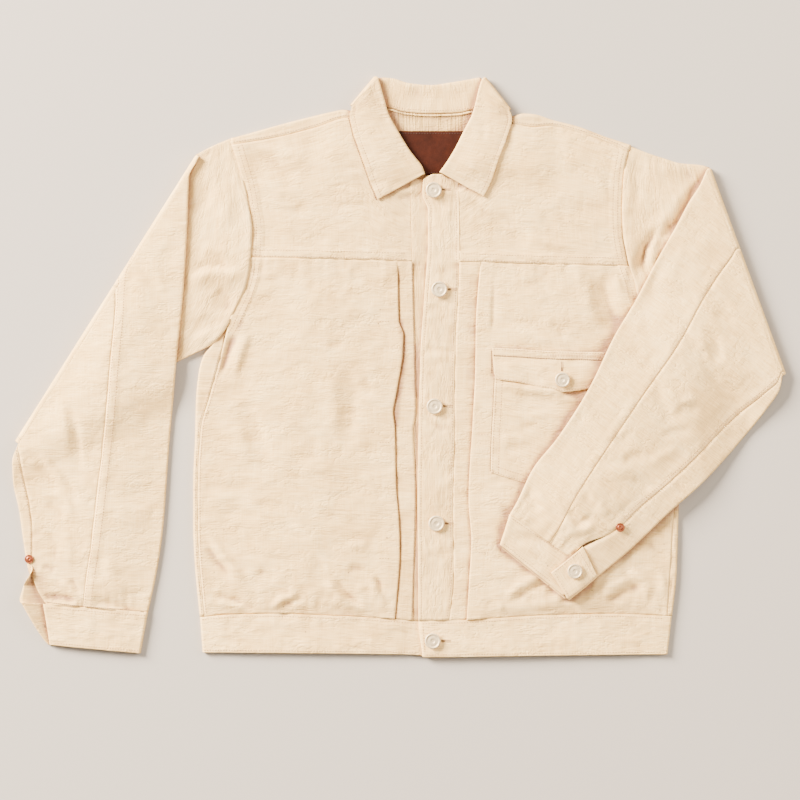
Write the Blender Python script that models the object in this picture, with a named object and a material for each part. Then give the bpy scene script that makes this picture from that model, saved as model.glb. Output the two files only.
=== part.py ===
"""A denim jacket laid flat on its back, buttoned, with both sleeves folded over.

Every piece is a wall of cloth lofted through sections. The tables are in millimetres on the jacket:
x runs from the centre front to the wearer's left, y from the hem to the collar, z up from the floor.
"""

import math

import bpy
import numpy as np

# --- sizes that drive the jacket, in millimetres
CLOTH = 1.1  # wall of one layer of denim
DOUBLE = 2.0  # wall of a doubled strip: waistband, cuffs, plackets and collar
SEAM = 0.35  # clear gap between two pieces that meet at a seam
REST = 0.45  # clear gap between two layers that lie on each other
SIDE_TALL = 4.6  # height of the rolled edge at the sides and shoulders
HEAD_TALL = 4.0  # thickness of a flattened sleeve at its edges
FOLD_RADIUS = 4.6  # outside of the bend where a sleeve is folded over
COLLAR_LIFT = 2.45  # how far the fall of the collar lifts the back yoke
PLEAT_DEPTH = 11.0  # width of the cloth folded under at each pleat
PLACKET_RIGHT_TOP = 4.4
PLACKET_LEFT_TOP = 6.85
SHIFT = (37.0, -307.5)  # from the jacket's own origin to the middle of its outline
ARMHOLE_GAP = 1.3  # between each sleeve and the curved edge of its armhole
TURNED = 0.8  # radius of an edge turned under inside a seam
FRONT_ROWS = [0, 0.05, 0.11, 0.17, 0.22, 0.26, 0.31, 0.38, 0.47, 0.57, 0.67, 0.77, 0.86, 0.94, 1]
YOKE_ROWS = [0, 0.12, 0.27, 0.43, 0.58, 0.71, 0.83, 0.93, 1]
ROLL_FACETS = 3  # facets round each rolled or folded edge
BUTTON_RADIUS = 8.5
SMALL_BUTTON_RADIUS = 8.0
RIVET_RADIUS = 4.75

# --- outlines of the body: x of each edge by height y
SIDE_RIGHT = [(4, -245), (41, -248), (61, -250), (94, -253), (137, -255), (183, -255), (232, -253),
              (272, -252), (302, -249), (319, -244), (330, -235)]
SIDE_LEFT = [(2, 248), (42, 253), (89, 258), (120, 259), (155, 260), (187, 261), (232, 260),
             (272, 257), (302, 251), (323, 244), (335, 235)]
ARMHOLE_RIGHT = [(330, -235), (339, -226), (352, -217), (369, -209), (389, -200), (409, -195),
                 (430, -193), (453, -192), (474, -195), (496, -199), (517, -205), (540, -212), (549, -216)]
ARMHOLE_LEFT = [(335, 235), (347, 228), (362, 223), (381, 216), (398, 212), (416, 206), (430, 203),
                (447, 200), (473, 199), (501, 200), (525, 203), (540, 208), (551, 213)]
SIDE_SEAM_RIGHT = [(39, -243), (137, -250), (183, -250), (240, -247), (277, -237), (302, -230), (318, -226)]
SIDE_SEAM_LEFT = [(39, 248), (137, 254), (187, 256), (240, 254), (277, 250), (302, 245), (322, 238)]

# --- seams that cross the body: y by x
WAIST_TOP_RIGHT = [(-250, 41), (-217, 44), (-168, 45), (-109, 43), (-36, 39), (-22, 37.4), (-10, 36.6)]
WAIST_TOP_LEFT = [(-20, 37), (18, 38), (45, 39), (110, 43), (194, 45), (255, 42)]
WAIST_BOTTOM = [(-250, 4), (-36, 2), (-14, 1), (-9, -1), (72, 0), (153, 1), (250, 2)]
YOKE_SEAM = [(-196, 423), (-110, 421.5), (-31, 419.5), (39, 418.5), (112, 416), (208, 414)]
SHOULDER = [(-217, 548.5), (-149, 567.5), (-109, 577), (-95, 579.5), (-84, 578), (84, 573), (95, 575.5),
            (105, 575), (126, 569), (153, 562), (180, 552), (212, 540)]
STRIP_SEAM = [(-215, 542), (-163, 551), (-125, 561), (-92, 571), (-84, 571.5), (-78, 567), (-71, 556),
              (-57, 536.5), (-42, 521), (-26, 509)]
STRIP_SEAM_LEFT = [(26, 508), (38, 519), (50, 536), (62, 553), (72, 562), (80, 564.5), (107, 561), (123, 562.5),
                   (153, 556), (194, 541), (210, 532)]
BACK_NECK = [(-80, 576), (-74, 578), (-62, 581), (-49, 581.5), (-31, 577), (-4, 575), (25, 576), (43, 579),
             (56, 579), (68, 575), (80, 571)]

# --- edges that run up the front: x by y
PLEAT_RIGHT = [(39, -41), (63, -39), (109, -36), (123, -36), (146, -37), (186, -40), (242, -41), (259, -43),
               (277, -40), (320, -33), (341, -32), (357, -37), (417, -38)]
STRIP_EDGE_RIGHT = [(39, -22), (109, -20), (166, -18), (242, -21), (259, -18), (341, -20), (417, -22), (512, -24)]
PLACKET_EDGE = [(-1, -10.5), (37, -16), (109, -16.5), (166, -17), (259, -15.5), (320, -14), (386, -9.5),
                (440, -6), (473, -6), (490, -12), (506, -11)]
STITCH_EDGE_LEFT = [(37, 16.5), (84, 21), (166, 20.5), (242, 22.5), (277, 22), (341, 23.5), (417, 27), (511, 26)]
PLEAT_LEFT = [(39, 35), (84, 38), (123, 40), (166, 37), (242, 41), (298, 44), (357, 45), (417, 49.5)]

# --- the pocket and its flap
POCKET_LEFT = [(194, 60.5), (220, 61), (260, 63), (302, 65)]
POCKET_RIGHT = [(197, 209), (302, 205)]
POCKET_BOTTOM = [(60, 195), (95, 184), (135, 171), (175, 184), (210, 197)]
POCKET_MOUTH = [(60, 302), (135, 296), (210, 302)]
FLAP_TOP = [(60, 319), (95, 317), (129, 315), (180, 314), (212, 313)]
FLAP_BOTTOM = [(62, 299), (67, 293), (89, 290), (106, 286), (123, 283), (136, 280), (157, 282), (176, 286),
               (196, 291), (203, 297)]

# --- the sleeves: outlines as (x, y) from the shoulder to the cuff
RIGHT_FOLD = [(-252, 532), (-444, 228)]
RIGHT_HEAD_TOP = [(-216, 549), (-236, 540.5), (-252, 532)]
RIGHT_INNER = [(-252, 532), (-259, 508), (-261, 456), (-265, 388), (-271, 329), (-276, 273), (-280, 232),
               (-287, 137), (-293, 94), (-303, 46)]
RIGHT_OUTER = [(-444, 228), (-446.5, 206), (-446, 185), (-440, 155), (-435, 120), (-431, 95), (-423, 70), (-414, 55)]
RIGHT_MIDDLE_SEAM = [(-322, 438), (-335, 402), (-337, 362), (-342, 308), (-345, 270), (-352, 208), (-362, 123),
                     (-368, 83), (-372, 50)]
RIGHT_SLIT_SEAM = [(-440, 245), (-441, 226), (-437, 198), (-430, 166), (-426, 134), (-426, 102), (-425, 78),
                   (-424, 66), (-414, 54)]
LEFT_FOLD = [(294, 518), (374, 299)]
LEFT_HEAD_TOP = [(213, 540), (228, 533.5), (245, 528), (262, 523), (284, 521), (294, 518)]
LEFT_INNER = [(294, 518), (283, 501), (271, 482), (257, 456), (236, 419), (212, 374), (192, 341), (164, 284),
              (131, 232), (105, 199), (88, 164), (80, 150)]
LEFT_OUTER = [(374, 299), (367, 284), (353, 262), (329, 232), (286, 185), (250, 153), (208, 113), (174, 85)]
LEFT_MIDDLE_SEAM = [(321, 431), (288, 383), (261, 334), (220, 275), (175, 208), (153, 174), (130, 131)]
LEFT_SLIT_SEAM = [(372, 297), (351, 278), (315, 249), (275, 208), (248, 183), (215, 155), (197, 137), (152, 113)]

# --- the collar, station by station from the front end to the middle of the back:
# neck x, y; roll x, y; outer edge x, y; turn about the shoulder fold in degrees
COLLAR_RIGHT = [
    (-19, 508, -9, 511, -59, 484, 0),
    (-27, 513, -12, 519, -67, 504, 0),
    (-42, 525, -25, 536, -75, 527, 0),
    (-55, 540, -39, 559, -84, 552, 0),
    (-66, 556, -49, 578, -89, 573, 0),
    (-71, 565, -53, 592, -87.5, 579, 0),
    (-74, 572, -56.5, 604, -87, 581.5, 0),
    (-76, 578, -58.6, 613.5, -86.5, 583.5, 0),
    (-76, 578, -58.6, 613.5, -86.5, 583.5, 45),
    (-76, 578, -58.6, 613.5, -86.5, 583.5, 90),
    (-76, 578, -58.6, 613.5, -86.5, 583.5, 135),
    (-76, 579, -58.6, 613.5, -86.5, 583.5, 180),
    (-63, 581.5, -54, 614, -80, 566, 180),
    (-49, 582, -43, 613, -62, 550, 180),
    (-31, 577.5, -26, 608, -34, 542, 180),
    (-4, 575.5, -3, 606, -4, 539, 180),
]
COLLAR_LEFT = [
    (19, 508, 6, 513, 53, 487, 0),
    (26, 513, 12, 521, 61, 503, 0),
    (38, 524, 22, 537, 69, 527, 0),
    (49, 540, 33, 559, 78, 551, 0),
    (60, 555, 41, 575, 83, 568, 0),
    (65, 563, 45, 588, 82, 575, 0),
    (68, 569, 48, 601, 81, 577, 0),
    (70, 573.5, 51.5, 612, 80.5, 579, 0),
    (70, 573.5, 51.5, 612, 80.5, 579, 45),
    (70, 573.5, 51.5, 612, 80.5, 579, 90),
    (70, 573.5, 51.5, 612, 80.5, 579, 135),
    (70, 575.5, 51.5, 612, 80.5, 579, 180),
    (56, 579.5, 49, 614, 74, 564, 180),
    (43, 579.5, 38, 612, 56, 549, 180),
    (25, 576.5, 20, 609, 30, 541, 180),
]
LABEL = [(-46, 41), (510, 557)]

# --- fastenings: x, y on the jacket
FRONT_BUTTONS = [(0, 494), (6, 389), (1, 265), (3, 141), (-1, 16.5)]
POCKET_BUTTON = (136, 293)
CUFF_BUTTON = (149, 91)
RIVET_RIGHT = (-429, 103)
RIVET_LEFT = (197, 137)


# --- curves and heights
def smooth(t):
    t = np.clip(t, 0, 1)
    return t * t * (3 - 2 * t)


def bend_through(t, xs, ys):
    """A smooth line through points, which never swings past them."""
    xs, ys = np.asarray(xs, float), np.asarray(ys, float)
    slope = np.diff(ys) / np.diff(xs)
    tangent = np.zeros(len(xs))
    same = slope[1:] * slope[:-1] > 0
    tangent[1:-1][same] = 2 * slope[1:][same] * slope[:-1][same] / (slope[1:] + slope[:-1])[same]
    tangent[0], tangent[-1] = slope[0], slope[-1]
    t = np.clip(t, xs[0], xs[-1])
    i = np.clip(np.searchsorted(xs, t) - 1, 0, len(xs) - 2)
    gap = xs[i + 1] - xs[i]
    f = (t - xs[i]) / gap
    return ((1 + 2 * f) * (1 - f) ** 2 * ys[i] + f * (1 - f) ** 2 * gap * tangent[i]
            + f * f * (3 - 2 * f) * ys[i + 1] + f * f * (f - 1) * gap * tangent[i + 1])


def line(table, at):
    return bend_through(at, [p[0] for p in table], [p[1] for p in table])


def walk(points, fractions):
    """Points on a smooth curve through the given ones, at fractions of its length."""
    points = np.asarray(points, float)
    chord = np.concatenate([[0], np.cumsum(np.linalg.norm(np.diff(points, axis=0), axis=1))])
    fine = np.linspace(0, chord[-1], 400)
    dense = np.stack([bend_through(fine, chord, points[:, k]) for k in range(2)], axis=1)
    length = np.concatenate([[0], np.cumsum(np.linalg.norm(np.diff(dense, axis=0), axis=1))])
    at = np.asarray(fractions) * length[-1]
    return np.stack([np.interp(at, length, dense[:, k]) for k in range(2)], axis=1)


def lift(x, y):
    """How far the layers near the neck are raised by the fall of the collar under the back yoke."""
    return COLLAR_LIFT * smooth((132 - np.abs(x)) / 28) * smooth((y - 496) / 26)


def yoke_top(x, y):
    """Top face of the chest yokes."""
    t = (207 - np.abs(x)) / 180
    right = bend_through(t, [-0.1, 0, 0.3, 0.6, 0.85, 1.0], [0, 0, 1.6, 2.3, 2.0, 0.9])
    left = bend_through(t, [-0.1, 0, 0.3, 0.6, 0.85, 1.0], [0, 0, 2.0, 3.2, 3.7, 3.0])
    below = line(SHOULDER, np.clip(x, -216, 211)) - y
    rise = np.where(np.asarray(x) < 0, right, left) * smooth((below + 6) / 60)
    drag = 1.1 * np.exp(-((x + 0.55 * y - 92) / 17.0) ** 2) * smooth((-100 - x) / 40) * smooth((x + 190) / 40)
    return SIDE_TALL + rise + drag + lift(x, y)


def side_shape(right):
    """The pleat line, the outer seam and the two heights of one front."""
    if right:
        edge = [(y, x) for y, x in ARMHOLE_RIGHT if 342 < y < 440]
        return PLEAT_RIGHT, SIDE_SEAM_RIGHT + edge, PLACKET_RIGHT_TOP + 2.2
    edge = [(y, x) for y, x in ARMHOLE_LEFT if 342 < y < 440]
    return PLEAT_LEFT, SIDE_SEAM_LEFT + edge, PLACKET_LEFT_TOP + 2.0


def front_top(right, x, y):
    """Top face of a front from its pleat to its outer seam."""
    pleat, seam, tall = side_shape(right)
    inner, outer = line(pleat, y), line(seam, y)
    t = np.clip((x - inner) / (outer - inner), 0, 1)
    hem = smooth((y - 36) / 60)
    flat = tall + (SIDE_TALL - tall) * smooth((t - 0.12) / 0.95)
    puff = (0.6 + 1.9 * hem) * np.sin(math.pi * np.clip((t - 0.1) / 0.9, 0, 1)) ** 2
    puff = puff * (1 - 0.45 * smooth((y - 380) / 40))
    pucker = 0.9 * np.exp(-((y - 62 - 16 * np.sin(x / 21.0)) / 9.0) ** 2) * np.sin(math.pi * t) ** 2
    under_arm = 1.3 * np.exp(-((np.abs(x) * 0.8 + 0.6 * y - 392) / 14.0) ** 2) * smooth((t - 0.55) / 0.2)
    under_arm = under_arm * smooth((1 - t) / 0.12) * smooth((y - 240) / 50)
    return flat + puff + pucker + under_arm


# --- walls of cloth
def ribbon(path, wall):
    """Both faces of a strip of cloth whose middle follows path, an (n, 2) section."""
    step = np.diff(path, axis=0)
    step /= np.linalg.norm(step, axis=1, keepdims=True)
    before, after = np.vstack([step[:1], step]), np.vstack([step, step[-1:]])
    mean = before + after
    mean /= np.linalg.norm(mean, axis=1, keepdims=True)
    out = np.stack([-mean[:, 1], mean[:, 0]], axis=1)
    reach = wall / 2 / np.clip((mean * after).sum(axis=1), 0.6, 1)
    return path + out * reach[:, None], path - out * reach[:, None]


def arc(centre, radius, start, turn, pieces):
    """Points of an arc after its first one, in degrees."""
    angles = np.radians(start + turn * np.arange(1, pieces + 1) / pieces)
    return np.stack([centre[0] + radius * np.cos(angles), centre[1] + radius * np.sin(angles)], axis=1)


def material(name, colour, roughness, metallic=0.0):
    made = bpy.data.materials.new(name)
    made.use_nodes = True
    shader = made.node_tree.nodes["Principled BSDF"]
    shader.inputs["Base Color"].default_value = (*colour, 1)
    shader.inputs["Roughness"].default_value = roughness
    shader.inputs["Metallic"].default_value = metallic
    return made


def solid(name, points, faces, slot):
    """A closed body from points in millimetres on the jacket."""
    points = np.asarray(points, float).reshape(-1, 3)
    volume = 0.0
    for face in faces:
        a = points[face[0]]
        for b, c in zip(face[1:-1], face[2:]):
            volume += np.dot(a, np.cross(points[b], points[c]))
    if volume < 0:
        faces = [face[::-1] for face in faces]
    placed = (points + (SHIFT[0], SHIFT[1], 0)) / 1000
    mesh = bpy.data.meshes.new(name)
    mesh.from_pydata(placed.tolist(), [], faces)
    mesh.materials.append(slot)
    made = bpy.data.objects.new(name, mesh)
    jacket.objects.link(made)
    return made


def loft(name, upper, lower, slot):
    """A wall between two grids of points of the same size, closed round its rim."""
    upper, lower = np.asarray(upper), np.asarray(lower)
    rows, columns = upper.shape[:2]
    points = np.concatenate([upper.reshape(-1, 3), lower.reshape(-1, 3)])
    under = rows * columns
    faces = []
    for r in range(rows - 1):
        for c in range(columns - 1):
            a, b = r * columns + c, (r + 1) * columns + c
            faces.append([a, a + 1, b + 1, b])
            faces.append([under + a, under + b, under + b + 1, under + a + 1])
    rim = [(0, c) for c in range(columns - 1)] + [(r, columns - 1) for r in range(rows - 1)]
    rim += [(rows - 1, c) for c in range(columns - 1, 0, -1)] + [(r, 0) for r in range(rows - 1, 0, -1)]
    ring = [r * columns + c for r, c in rim]
    for a, b in zip(ring, ring[1:] + ring[:1]):
        faces.append([b, a, under + a, under + b])
    return solid(name, points, faces, slot)


def lay(name, x, y, top, wall, slot):
    """A wall whose top face has the given heights, as thick as wall straight down."""
    return loft(name, np.stack([x, y, top], axis=-1), np.stack([x, y, top - wall], axis=-1), slot)


def across(y, path):
    """A section in x and z, set at height y, which may vary along it."""
    return np.stack([path[:, 0], np.broadcast_to(y, len(path)), path[:, 1]], axis=1)


def front_y(right, v, x):
    """Height on the jacket of a front's row, which starts at the chest seam and ends at the waistband."""
    high = line(YOKE_SEAM, x) - SEAM / 2
    low = line(WAIST_TOP_RIGHT if right else WAIST_TOP_LEFT, x) + SEAM
    return high + (low - high) * v


def back_seam(x):
    return 423 - 9 * (x + 196) / 404


# --- the back
def back_panel():
    """Flat on the floor; at each side it rolls up and over to the side seam on the front.

    Along the armholes the same roll is small: it is the turned edge inside the seam.
    """
    faces = [[], []]
    middle = CLOTH / 2
    for v in FRONT_ROWS:
        ends = []
        levels = []
        for right in (True, False):
            sign = -1 if right else 1
            armhole, edge = (ARMHOLE_RIGHT, SIDE_RIGHT) if right else (ARMHOLE_LEFT, SIDE_LEFT)
            seam = side_shape(right)[1]
            y = front_y(right, v, sign * 248)
            if y > 331:
                radius = TURNED
                out = abs(line(armhole, y)) - SEAM - radius - middle
                inward = out - 1.5
            else:
                radius = SIDE_TALL / 2 - middle
                out = abs(line(edge, y)) - SIDE_TALL / 2
                inward = abs(line(seam, y)) + SEAM
            top = middle + 2 * radius
            if inward > out - 0.6:
                out = inward + 0.6
            near = np.vstack([[[inward, top], [(inward + out) / 2, top], [out, top]],
                              arc((out, middle + radius), radius, 90, -180, ROLL_FACETS), [[out - 5, middle]]])
            near[:, 0] *= sign
            ends.append(near)
            levels.append(y + (0.5 if v == 1 else 0))
        flat = np.linspace(ends[0][-1, 0], ends[1][-1, 0], 6)[1:-1]
        path = np.vstack([ends[0], np.stack([flat, np.full(4, middle)], axis=1), ends[1][::-1]])
        share = np.clip((path[:, 0] + 196) / 404, 0, 1)
        for face, side in zip(faces, ribbon(path, CLOTH)):
            face.append(across(levels[0] + (levels[1] - levels[0]) * share, side))
    loft("back_panel", *faces, denim)


def armhole_x(y, u):
    """x at the fraction u from the right armhole to the left one."""
    y = np.minimum(y, 545)
    right, left = line(ARMHOLE_RIGHT, y) + SEAM, line(ARMHOLE_LEFT, y) - SEAM
    return right + (left - right) * u


def back_yoke():
    """Lies under the neck, lifted by the collar, and wraps over each shoulder to a strip on the front.

    Across the neck the roll shrinks to the turned edge of the neck seam.
    """
    stations = []
    for right in (True, False):
        x, y = yoke_grid(right)
        shoulder = np.abs(x[-1]) > 83
        ends = list(zip(x[-1][shoulder], y[-1][shoulder] + SEAM * 1.5))
        stations.append(ends if right else ends[::-1])
    neck = [(x, None) for x in (-79, -72, -62, -49, -31, -4, 25, 43, 56, 68, 77)]
    faces = [[], []]
    middle = CLOTH / 2
    for x, strip in stations[0] + neck + stations[1]:
        raised = float(lift(x, 560))
        at = 555 if strip is None else strip
        u = (x - armhole_x(at, 0)) / (armhole_x(at, 1) - armhole_x(at, 0))
        low = back_seam(armhole_x(423, u)) + SEAM / 2
        if strip is None:
            radius = TURNED
            crest = line(BACK_NECK, x) - 2 * SEAM - radius - middle
            strip = crest - 2
        else:
            radius = SIDE_TALL / 2 - middle
            crest = line(SHOULDER, x) - SIDE_TALL / 2
            strip = min(strip, crest - 0.8)
        top = middle + raised + 2 * radius
        floor = low + (crest - low) * np.array([0, 0.2, 0.4, 0.55, 0.67, 0.78, 0.9, 1])
        path = np.vstack([np.stack([floor, middle + lift(x, floor)], axis=1),
                          arc((crest, middle + raised + radius), radius, -90, 180, ROLL_FACETS),
                          [[(crest + strip) / 2, top], [strip, top]]])
        for face, edge in zip(faces, ribbon(path, CLOTH)):
            face.append(np.stack([armhole_x(edge[:, 0], u), edge[:, 0], edge[:, 1]], axis=1))
    loft("back_yoke", *faces, denim)


# --- the fronts
def yoke_grid(right):
    """x and y of a chest yoke: rows from the chest seam up to the shoulder strip and the neck."""
    fractions = np.array([0, 0.12, 0.24, 0.36, 0.48, 0.58, 0.65, 0.69, 0.74, 0.8, 0.89, 1])
    rise = np.array(YOKE_ROWS)[:, None]
    armhole = ARMHOLE_RIGHT if right else ARMHOLE_LEFT
    inner = STRIP_EDGE_RIGHT if right else STITCH_EDGE_LEFT
    top_line = STRIP_SEAM if right else STRIP_SEAM_LEFT
    sign = 1 if right else -1
    far, near = line(armhole, 500) + sign * SEAM, line(inner, 500) - sign * SEAM
    along = far + (near - far) * fractions
    low = line(YOKE_SEAM, along) + SEAM / 2
    for _ in range(4):
        y = low + (line(top_line, along) - SEAM / 2 - low) * rise
        far, near = line(armhole, y) + sign * SEAM, line(inner, y) - sign * SEAM
        along = (far + (near - far) * fractions)[-1]
    return far + (near - far) * fractions, y


def front_yoke(right):
    x, y = yoke_grid(right)
    lay("front_yoke_right" if right else "front_yoke_left", x, y, yoke_top(x, y), CLOTH, denim)


def pleat_path(right, v):
    """Section of a front across its pleat: outer seam, panel, fold, back under, fold, strip."""
    pleat, seam, tall = side_shape(right)
    sign = 1 if right else -1
    step = CLOTH + REST
    y = front_y(right, v, -sign * 40)
    edge = line(pleat, y)
    end = line(STRIP_EDGE_RIGHT if right else STITCH_EDGE_LEFT, front_y(right, v, -sign * 22)) - sign * SEAM
    side_y = front_y(right, v, -sign * 248)
    outer = line(seam, side_y) + sign * (SEAM + (1.2 if 290 < side_y < 345 else 0))
    turn = edge - sign * (step / 2 + CLOTH / 2)
    share = np.array([0, 0.06, 0.17, 0.3, 0.44, 0.58, 0.72, 0.84, 0.93, 1.0])
    panel = outer + (turn - outer) * share
    top = front_top(right, panel, front_y(right, v, panel)) - CLOTH / 2
    level = top[-1]
    back = turn - sign * PLEAT_DEPTH
    down = -sign * 180
    start = 90
    path = np.vstack([
        np.stack([panel, top], axis=1),
        arc((turn, level - step / 2), step / 2, start, down, ROLL_FACETS),
        [[(turn + back) / 2, level - step]],
        [[back, level - step]],
        arc((back, level - 1.5 * step), step / 2, start, -down, ROLL_FACETS),
        [[(turn + back) / 2, level - 2 * step], [turn, level - 2 * step], [end, level - 2 * step]],
    ])
    return path


def front(right):
    faces = [[], []]
    for v in FRONT_ROWS:
        path = pleat_path(right, v)
        for face, edge in zip(faces, ribbon(path, CLOTH)):
            face.append(across(front_y(right, v, path[:, 0]), edge))
    loft("front_right" if right else "front_left", *faces, denim)


def plackets():
    """Both doubled strips, in the rows of the fronts and the yokes; the buttonhole strip lies on the other."""
    for right, edge, columns in ((True, -22, 4), (False, 22, 6)):
        front = front_y(right, np.array(FRONT_ROWS[::-1]), edge)
        x, y = yoke_grid(right)
        at = np.concatenate([front, y[1:-1, -1], [505]])[:, None]
        share = np.linspace(0, 1, columns)
        first, last = (line(STRIP_EDGE_RIGHT, at), 14) if right else (line(PLACKET_EDGE, at),
                                                                      line(STITCH_EDGE_LEFT, at))
        x = first + (last - first) * share
        crown = 0 if right else bend_through(share, [0, 0.3, 0.5, 0.72, 1], [0.0, 5.5, 5.5, 0.8, 0.0])
        level = at + crown * smooth((at - 470) / 35)
        top = (PLACKET_RIGHT_TOP if right else PLACKET_LEFT_TOP) + lift(x, level)
        waist = (line(WAIST_TOP_RIGHT, x) if right else line(WAIST_TOP_LEFT, x)) + SEAM
        level = np.where(at == at[0], waist, level)
        lay("placket_right" if right else "placket_left", x, level, top, DOUBLE, denim)


def band_top(x):
    """Top face of the upper half of the waistband, right part then lapping left part."""
    right = bend_through(x, [-260, -246, -150, -60, -40, -20, 30], [0, 0, 1.2, 1.0, 0.6, -0.35, -0.35])
    left = bend_through(x, [-30, 16, 40, 120, 200, 246, 260], [2.05, 2.05, 2.7, 2.0, 1.0, 0, 0])
    return right, left


def waistband():
    """One strip right round the hem: the wearer's left end laps over the right end."""
    middle = DOUBLE / 2
    tall = 4.7
    out = tall / 2
    roll = out - middle
    lap = np.array([17, 4, -12])
    right_x = np.concatenate([lap, [-28, -45, -70, -100, -130, -160, -190, -215, -232]])
    left_x = np.array([232, 215, 190, 160, 130, 100, 75, 50, 35, 20, 4, -13])
    rows = np.linspace(0, 1, 4)
    faces = [[], []]
    for v in rows:
        y = 3 + 36 * v
        end_right, end_left = line(SIDE_RIGHT, y) + out, line(SIDE_LEFT, y) - out
        edge = line(PLACKET_EDGE, y)
        upper = np.stack([right_x, tall - middle + band_top(right_x)[0]], axis=1)
        lower_x = np.linspace(end_right, end_left, 13)
        over_x = left_x + np.where(left_x == -13, edge + 13, 0)
        over = np.stack([over_x, tall - middle + band_top(left_x)[1]], axis=1)
        path = np.vstack([upper, [[end_right, tall - middle]],
                          arc((end_right, out), roll, 90, 180, ROLL_FACETS),
                          np.stack([lower_x[1:], np.full(12, middle)], axis=1),
                          arc((end_left, out), roll, -90, 180, ROLL_FACETS), over])
        bottom = line(WAIST_BOTTOM, path[:, 0])
        top = np.where(np.arange(len(path)) < len(upper) + 2, line(WAIST_TOP_RIGHT, path[:, 0]),
                       line(WAIST_TOP_LEFT, path[:, 0]))
        under = slice(len(upper) + 2, len(path) - len(over) - 2)
        top[under] = 41 + np.clip((path[under, 0] + 196) / 404, 0, 1)
        for face, side in zip(faces, ribbon(path, DOUBLE)):
            face.append(across(bottom + (top - bottom) * v, side))
    loft("waistband", *faces, denim)


def pocket_and_flap():
    down = np.linspace(0, 1, 9)[:, None]
    share = np.linspace(0, 1, 11)
    guess = 60 + 149 * share
    high, low = line(POCKET_MOUTH, guess), line(POCKET_BOTTOM, guess)
    y = high + (low - high) * down
    x = line(POCKET_LEFT, y) + (line(POCKET_RIGHT, y) - line(POCKET_LEFT, y)) * share
    gape = 1.0 * np.exp(-((x - 135) / 45.0) ** 2) * smooth((y - 255) / 40)
    lay("pocket", x, y, front_top(False, x, y) + REST + CLOTH + gape, CLOTH, denim)
    down = np.linspace(0, 1, 6)[:, None]
    guess = 62 + 144 * share
    high, low = line(FLAP_TOP, guess), line(FLAP_BOTTOM, np.clip(guess, 62, 203))
    y = high + (low - high) * down
    x = 62 + 2 * down + (144 - 2 * down) * share
    over = smooth((318 - y) / 12)
    gape = 1.2 * np.exp(-((x - 135) / 45.0) ** 2) * smooth((315 - y) / 25)
    top = front_top(False, x, y) + REST + CLOTH + (CLOTH + REST + 0.2) * over + gape
    lay("pocket_flap", x, y, top, CLOTH, denim)


# --- the collar
def collar():
    """Each station runs from the neck seam up to the roll line and back down the fall."""
    step = DOUBLE + REST
    stations = COLLAR_RIGHT + COLLAR_LEFT[::-1]
    faces = [[], []]
    deep = SIDE_TALL / 2
    for neck_x, neck_y, roll_x, roll_y, edge_x, edge_y, degrees in stations:
        neck, roll, edge = np.array([neck_x, neck_y]), np.array([roll_x, roll_y]), np.array([edge_x, edge_y])
        outward = np.array([-0.87, 0.49]) if neck_x < 0 else np.array([0.75, 0.66])
        theta = math.radians(degrees)
        up = (roll - neck) / np.linalg.norm(roll - neck)
        roll = roll - up * (step / 2 + DOUBLE / 2)
        stand = np.linalg.norm(roll - neck)
        fall = np.linalg.norm(edge - roll)
        path = np.vstack([[[0, 0], [stand / 2, 0], [stand, 0]],
                          arc((stand, step / 2), step / 2, -90, 180, 4),
                          np.stack([stand - fall * np.array([0.12, 0.3, 0.5, 0.7, 0.86, 1.0]),
                                    np.full(6, step)], axis=1)])
        for face, side in zip(faces, ribbon(path, DOUBLE)):
            row = []
            for k, (along, off) in enumerate(side):
                if k < 7:
                    spot = neck + up * along
                else:
                    spot = roll + (edge - roll) * (stand - along) / fall
                front_z = yoke_top(spot[0], spot[1]) - CLOTH / 2 + off
                if k >= 9:
                    front_z += 1.2 * math.sin(math.pi * min(1, (stand - along) / fall)) ** 2
                back_z = DOUBLE / 2 + step - off
                weight = (1 + math.cos(theta)) / 2
                spot = spot + outward * math.sin(theta) * (deep - 0.8 + off)
                row.append([spot[0], spot[1], back_z + (front_z - back_z) * weight])
            face.append(row)
    loft("collar", *faces, denim)


def neck_label():
    x, y = np.meshgrid(np.linspace(*LABEL[0], 5), np.linspace(*LABEL[1], 6))
    lay("neck_label", x, y, CLOTH + lift(x, y) + REST + 1.2, 1.2, leather)


# --- the sleeves
def head_edges(right):
    armhole = ARMHOLE_RIGHT if right else ARMHOLE_LEFT
    points = [(x, y) for y, x in armhole][::-1]
    return points, (RIGHT_HEAD_TOP if right else LEFT_HEAD_TOP), (RIGHT_FOLD if right else LEFT_FOLD)


def below_line(spot, a, b):
    """Distance of a point below the line from a to b."""
    a, b = np.asarray(a, float), np.asarray(b, float)
    along = (b - a) / np.linalg.norm(b - a)
    normal = np.array([along[1], -along[0]])
    normal = normal if normal[1] < 0 else -normal
    return (np.asarray(spot) - a) @ normal


def support(right, spot):
    """Height that the folded forearm must clear at a point."""
    x, y = spot
    under = below_line(spot, (-235, 330), RIGHT_FOLD[1]) if right else below_line(spot, (235, 335), LEFT_FOLD[1])
    head = (SIDE_TALL + 1.6) * smooth(1 - (under - 9) / 42)
    if right:
        return head
    side = line(SIDE_LEFT, np.clip(y, 3, 334))
    on_body = smooth(1 - (x - side - 6) / 70)
    inner = min(x, line(SIDE_SEAM_LEFT, y) - 1)
    body = front_top(False, inner, np.clip(y, 45, 420)) + REST + 0.25
    pocket = (CLOTH + REST + 1.0) * smooth((y - 100) / 70) * smooth((396 - y) / 76)
    flap = (CLOTH + REST + 1.8) * smooth((y - 206) / 74) * smooth((396 - y) / 76)
    return max(head * smooth((x - 190) / 30 + 1), (body + pocket + flap) * on_body)


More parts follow.
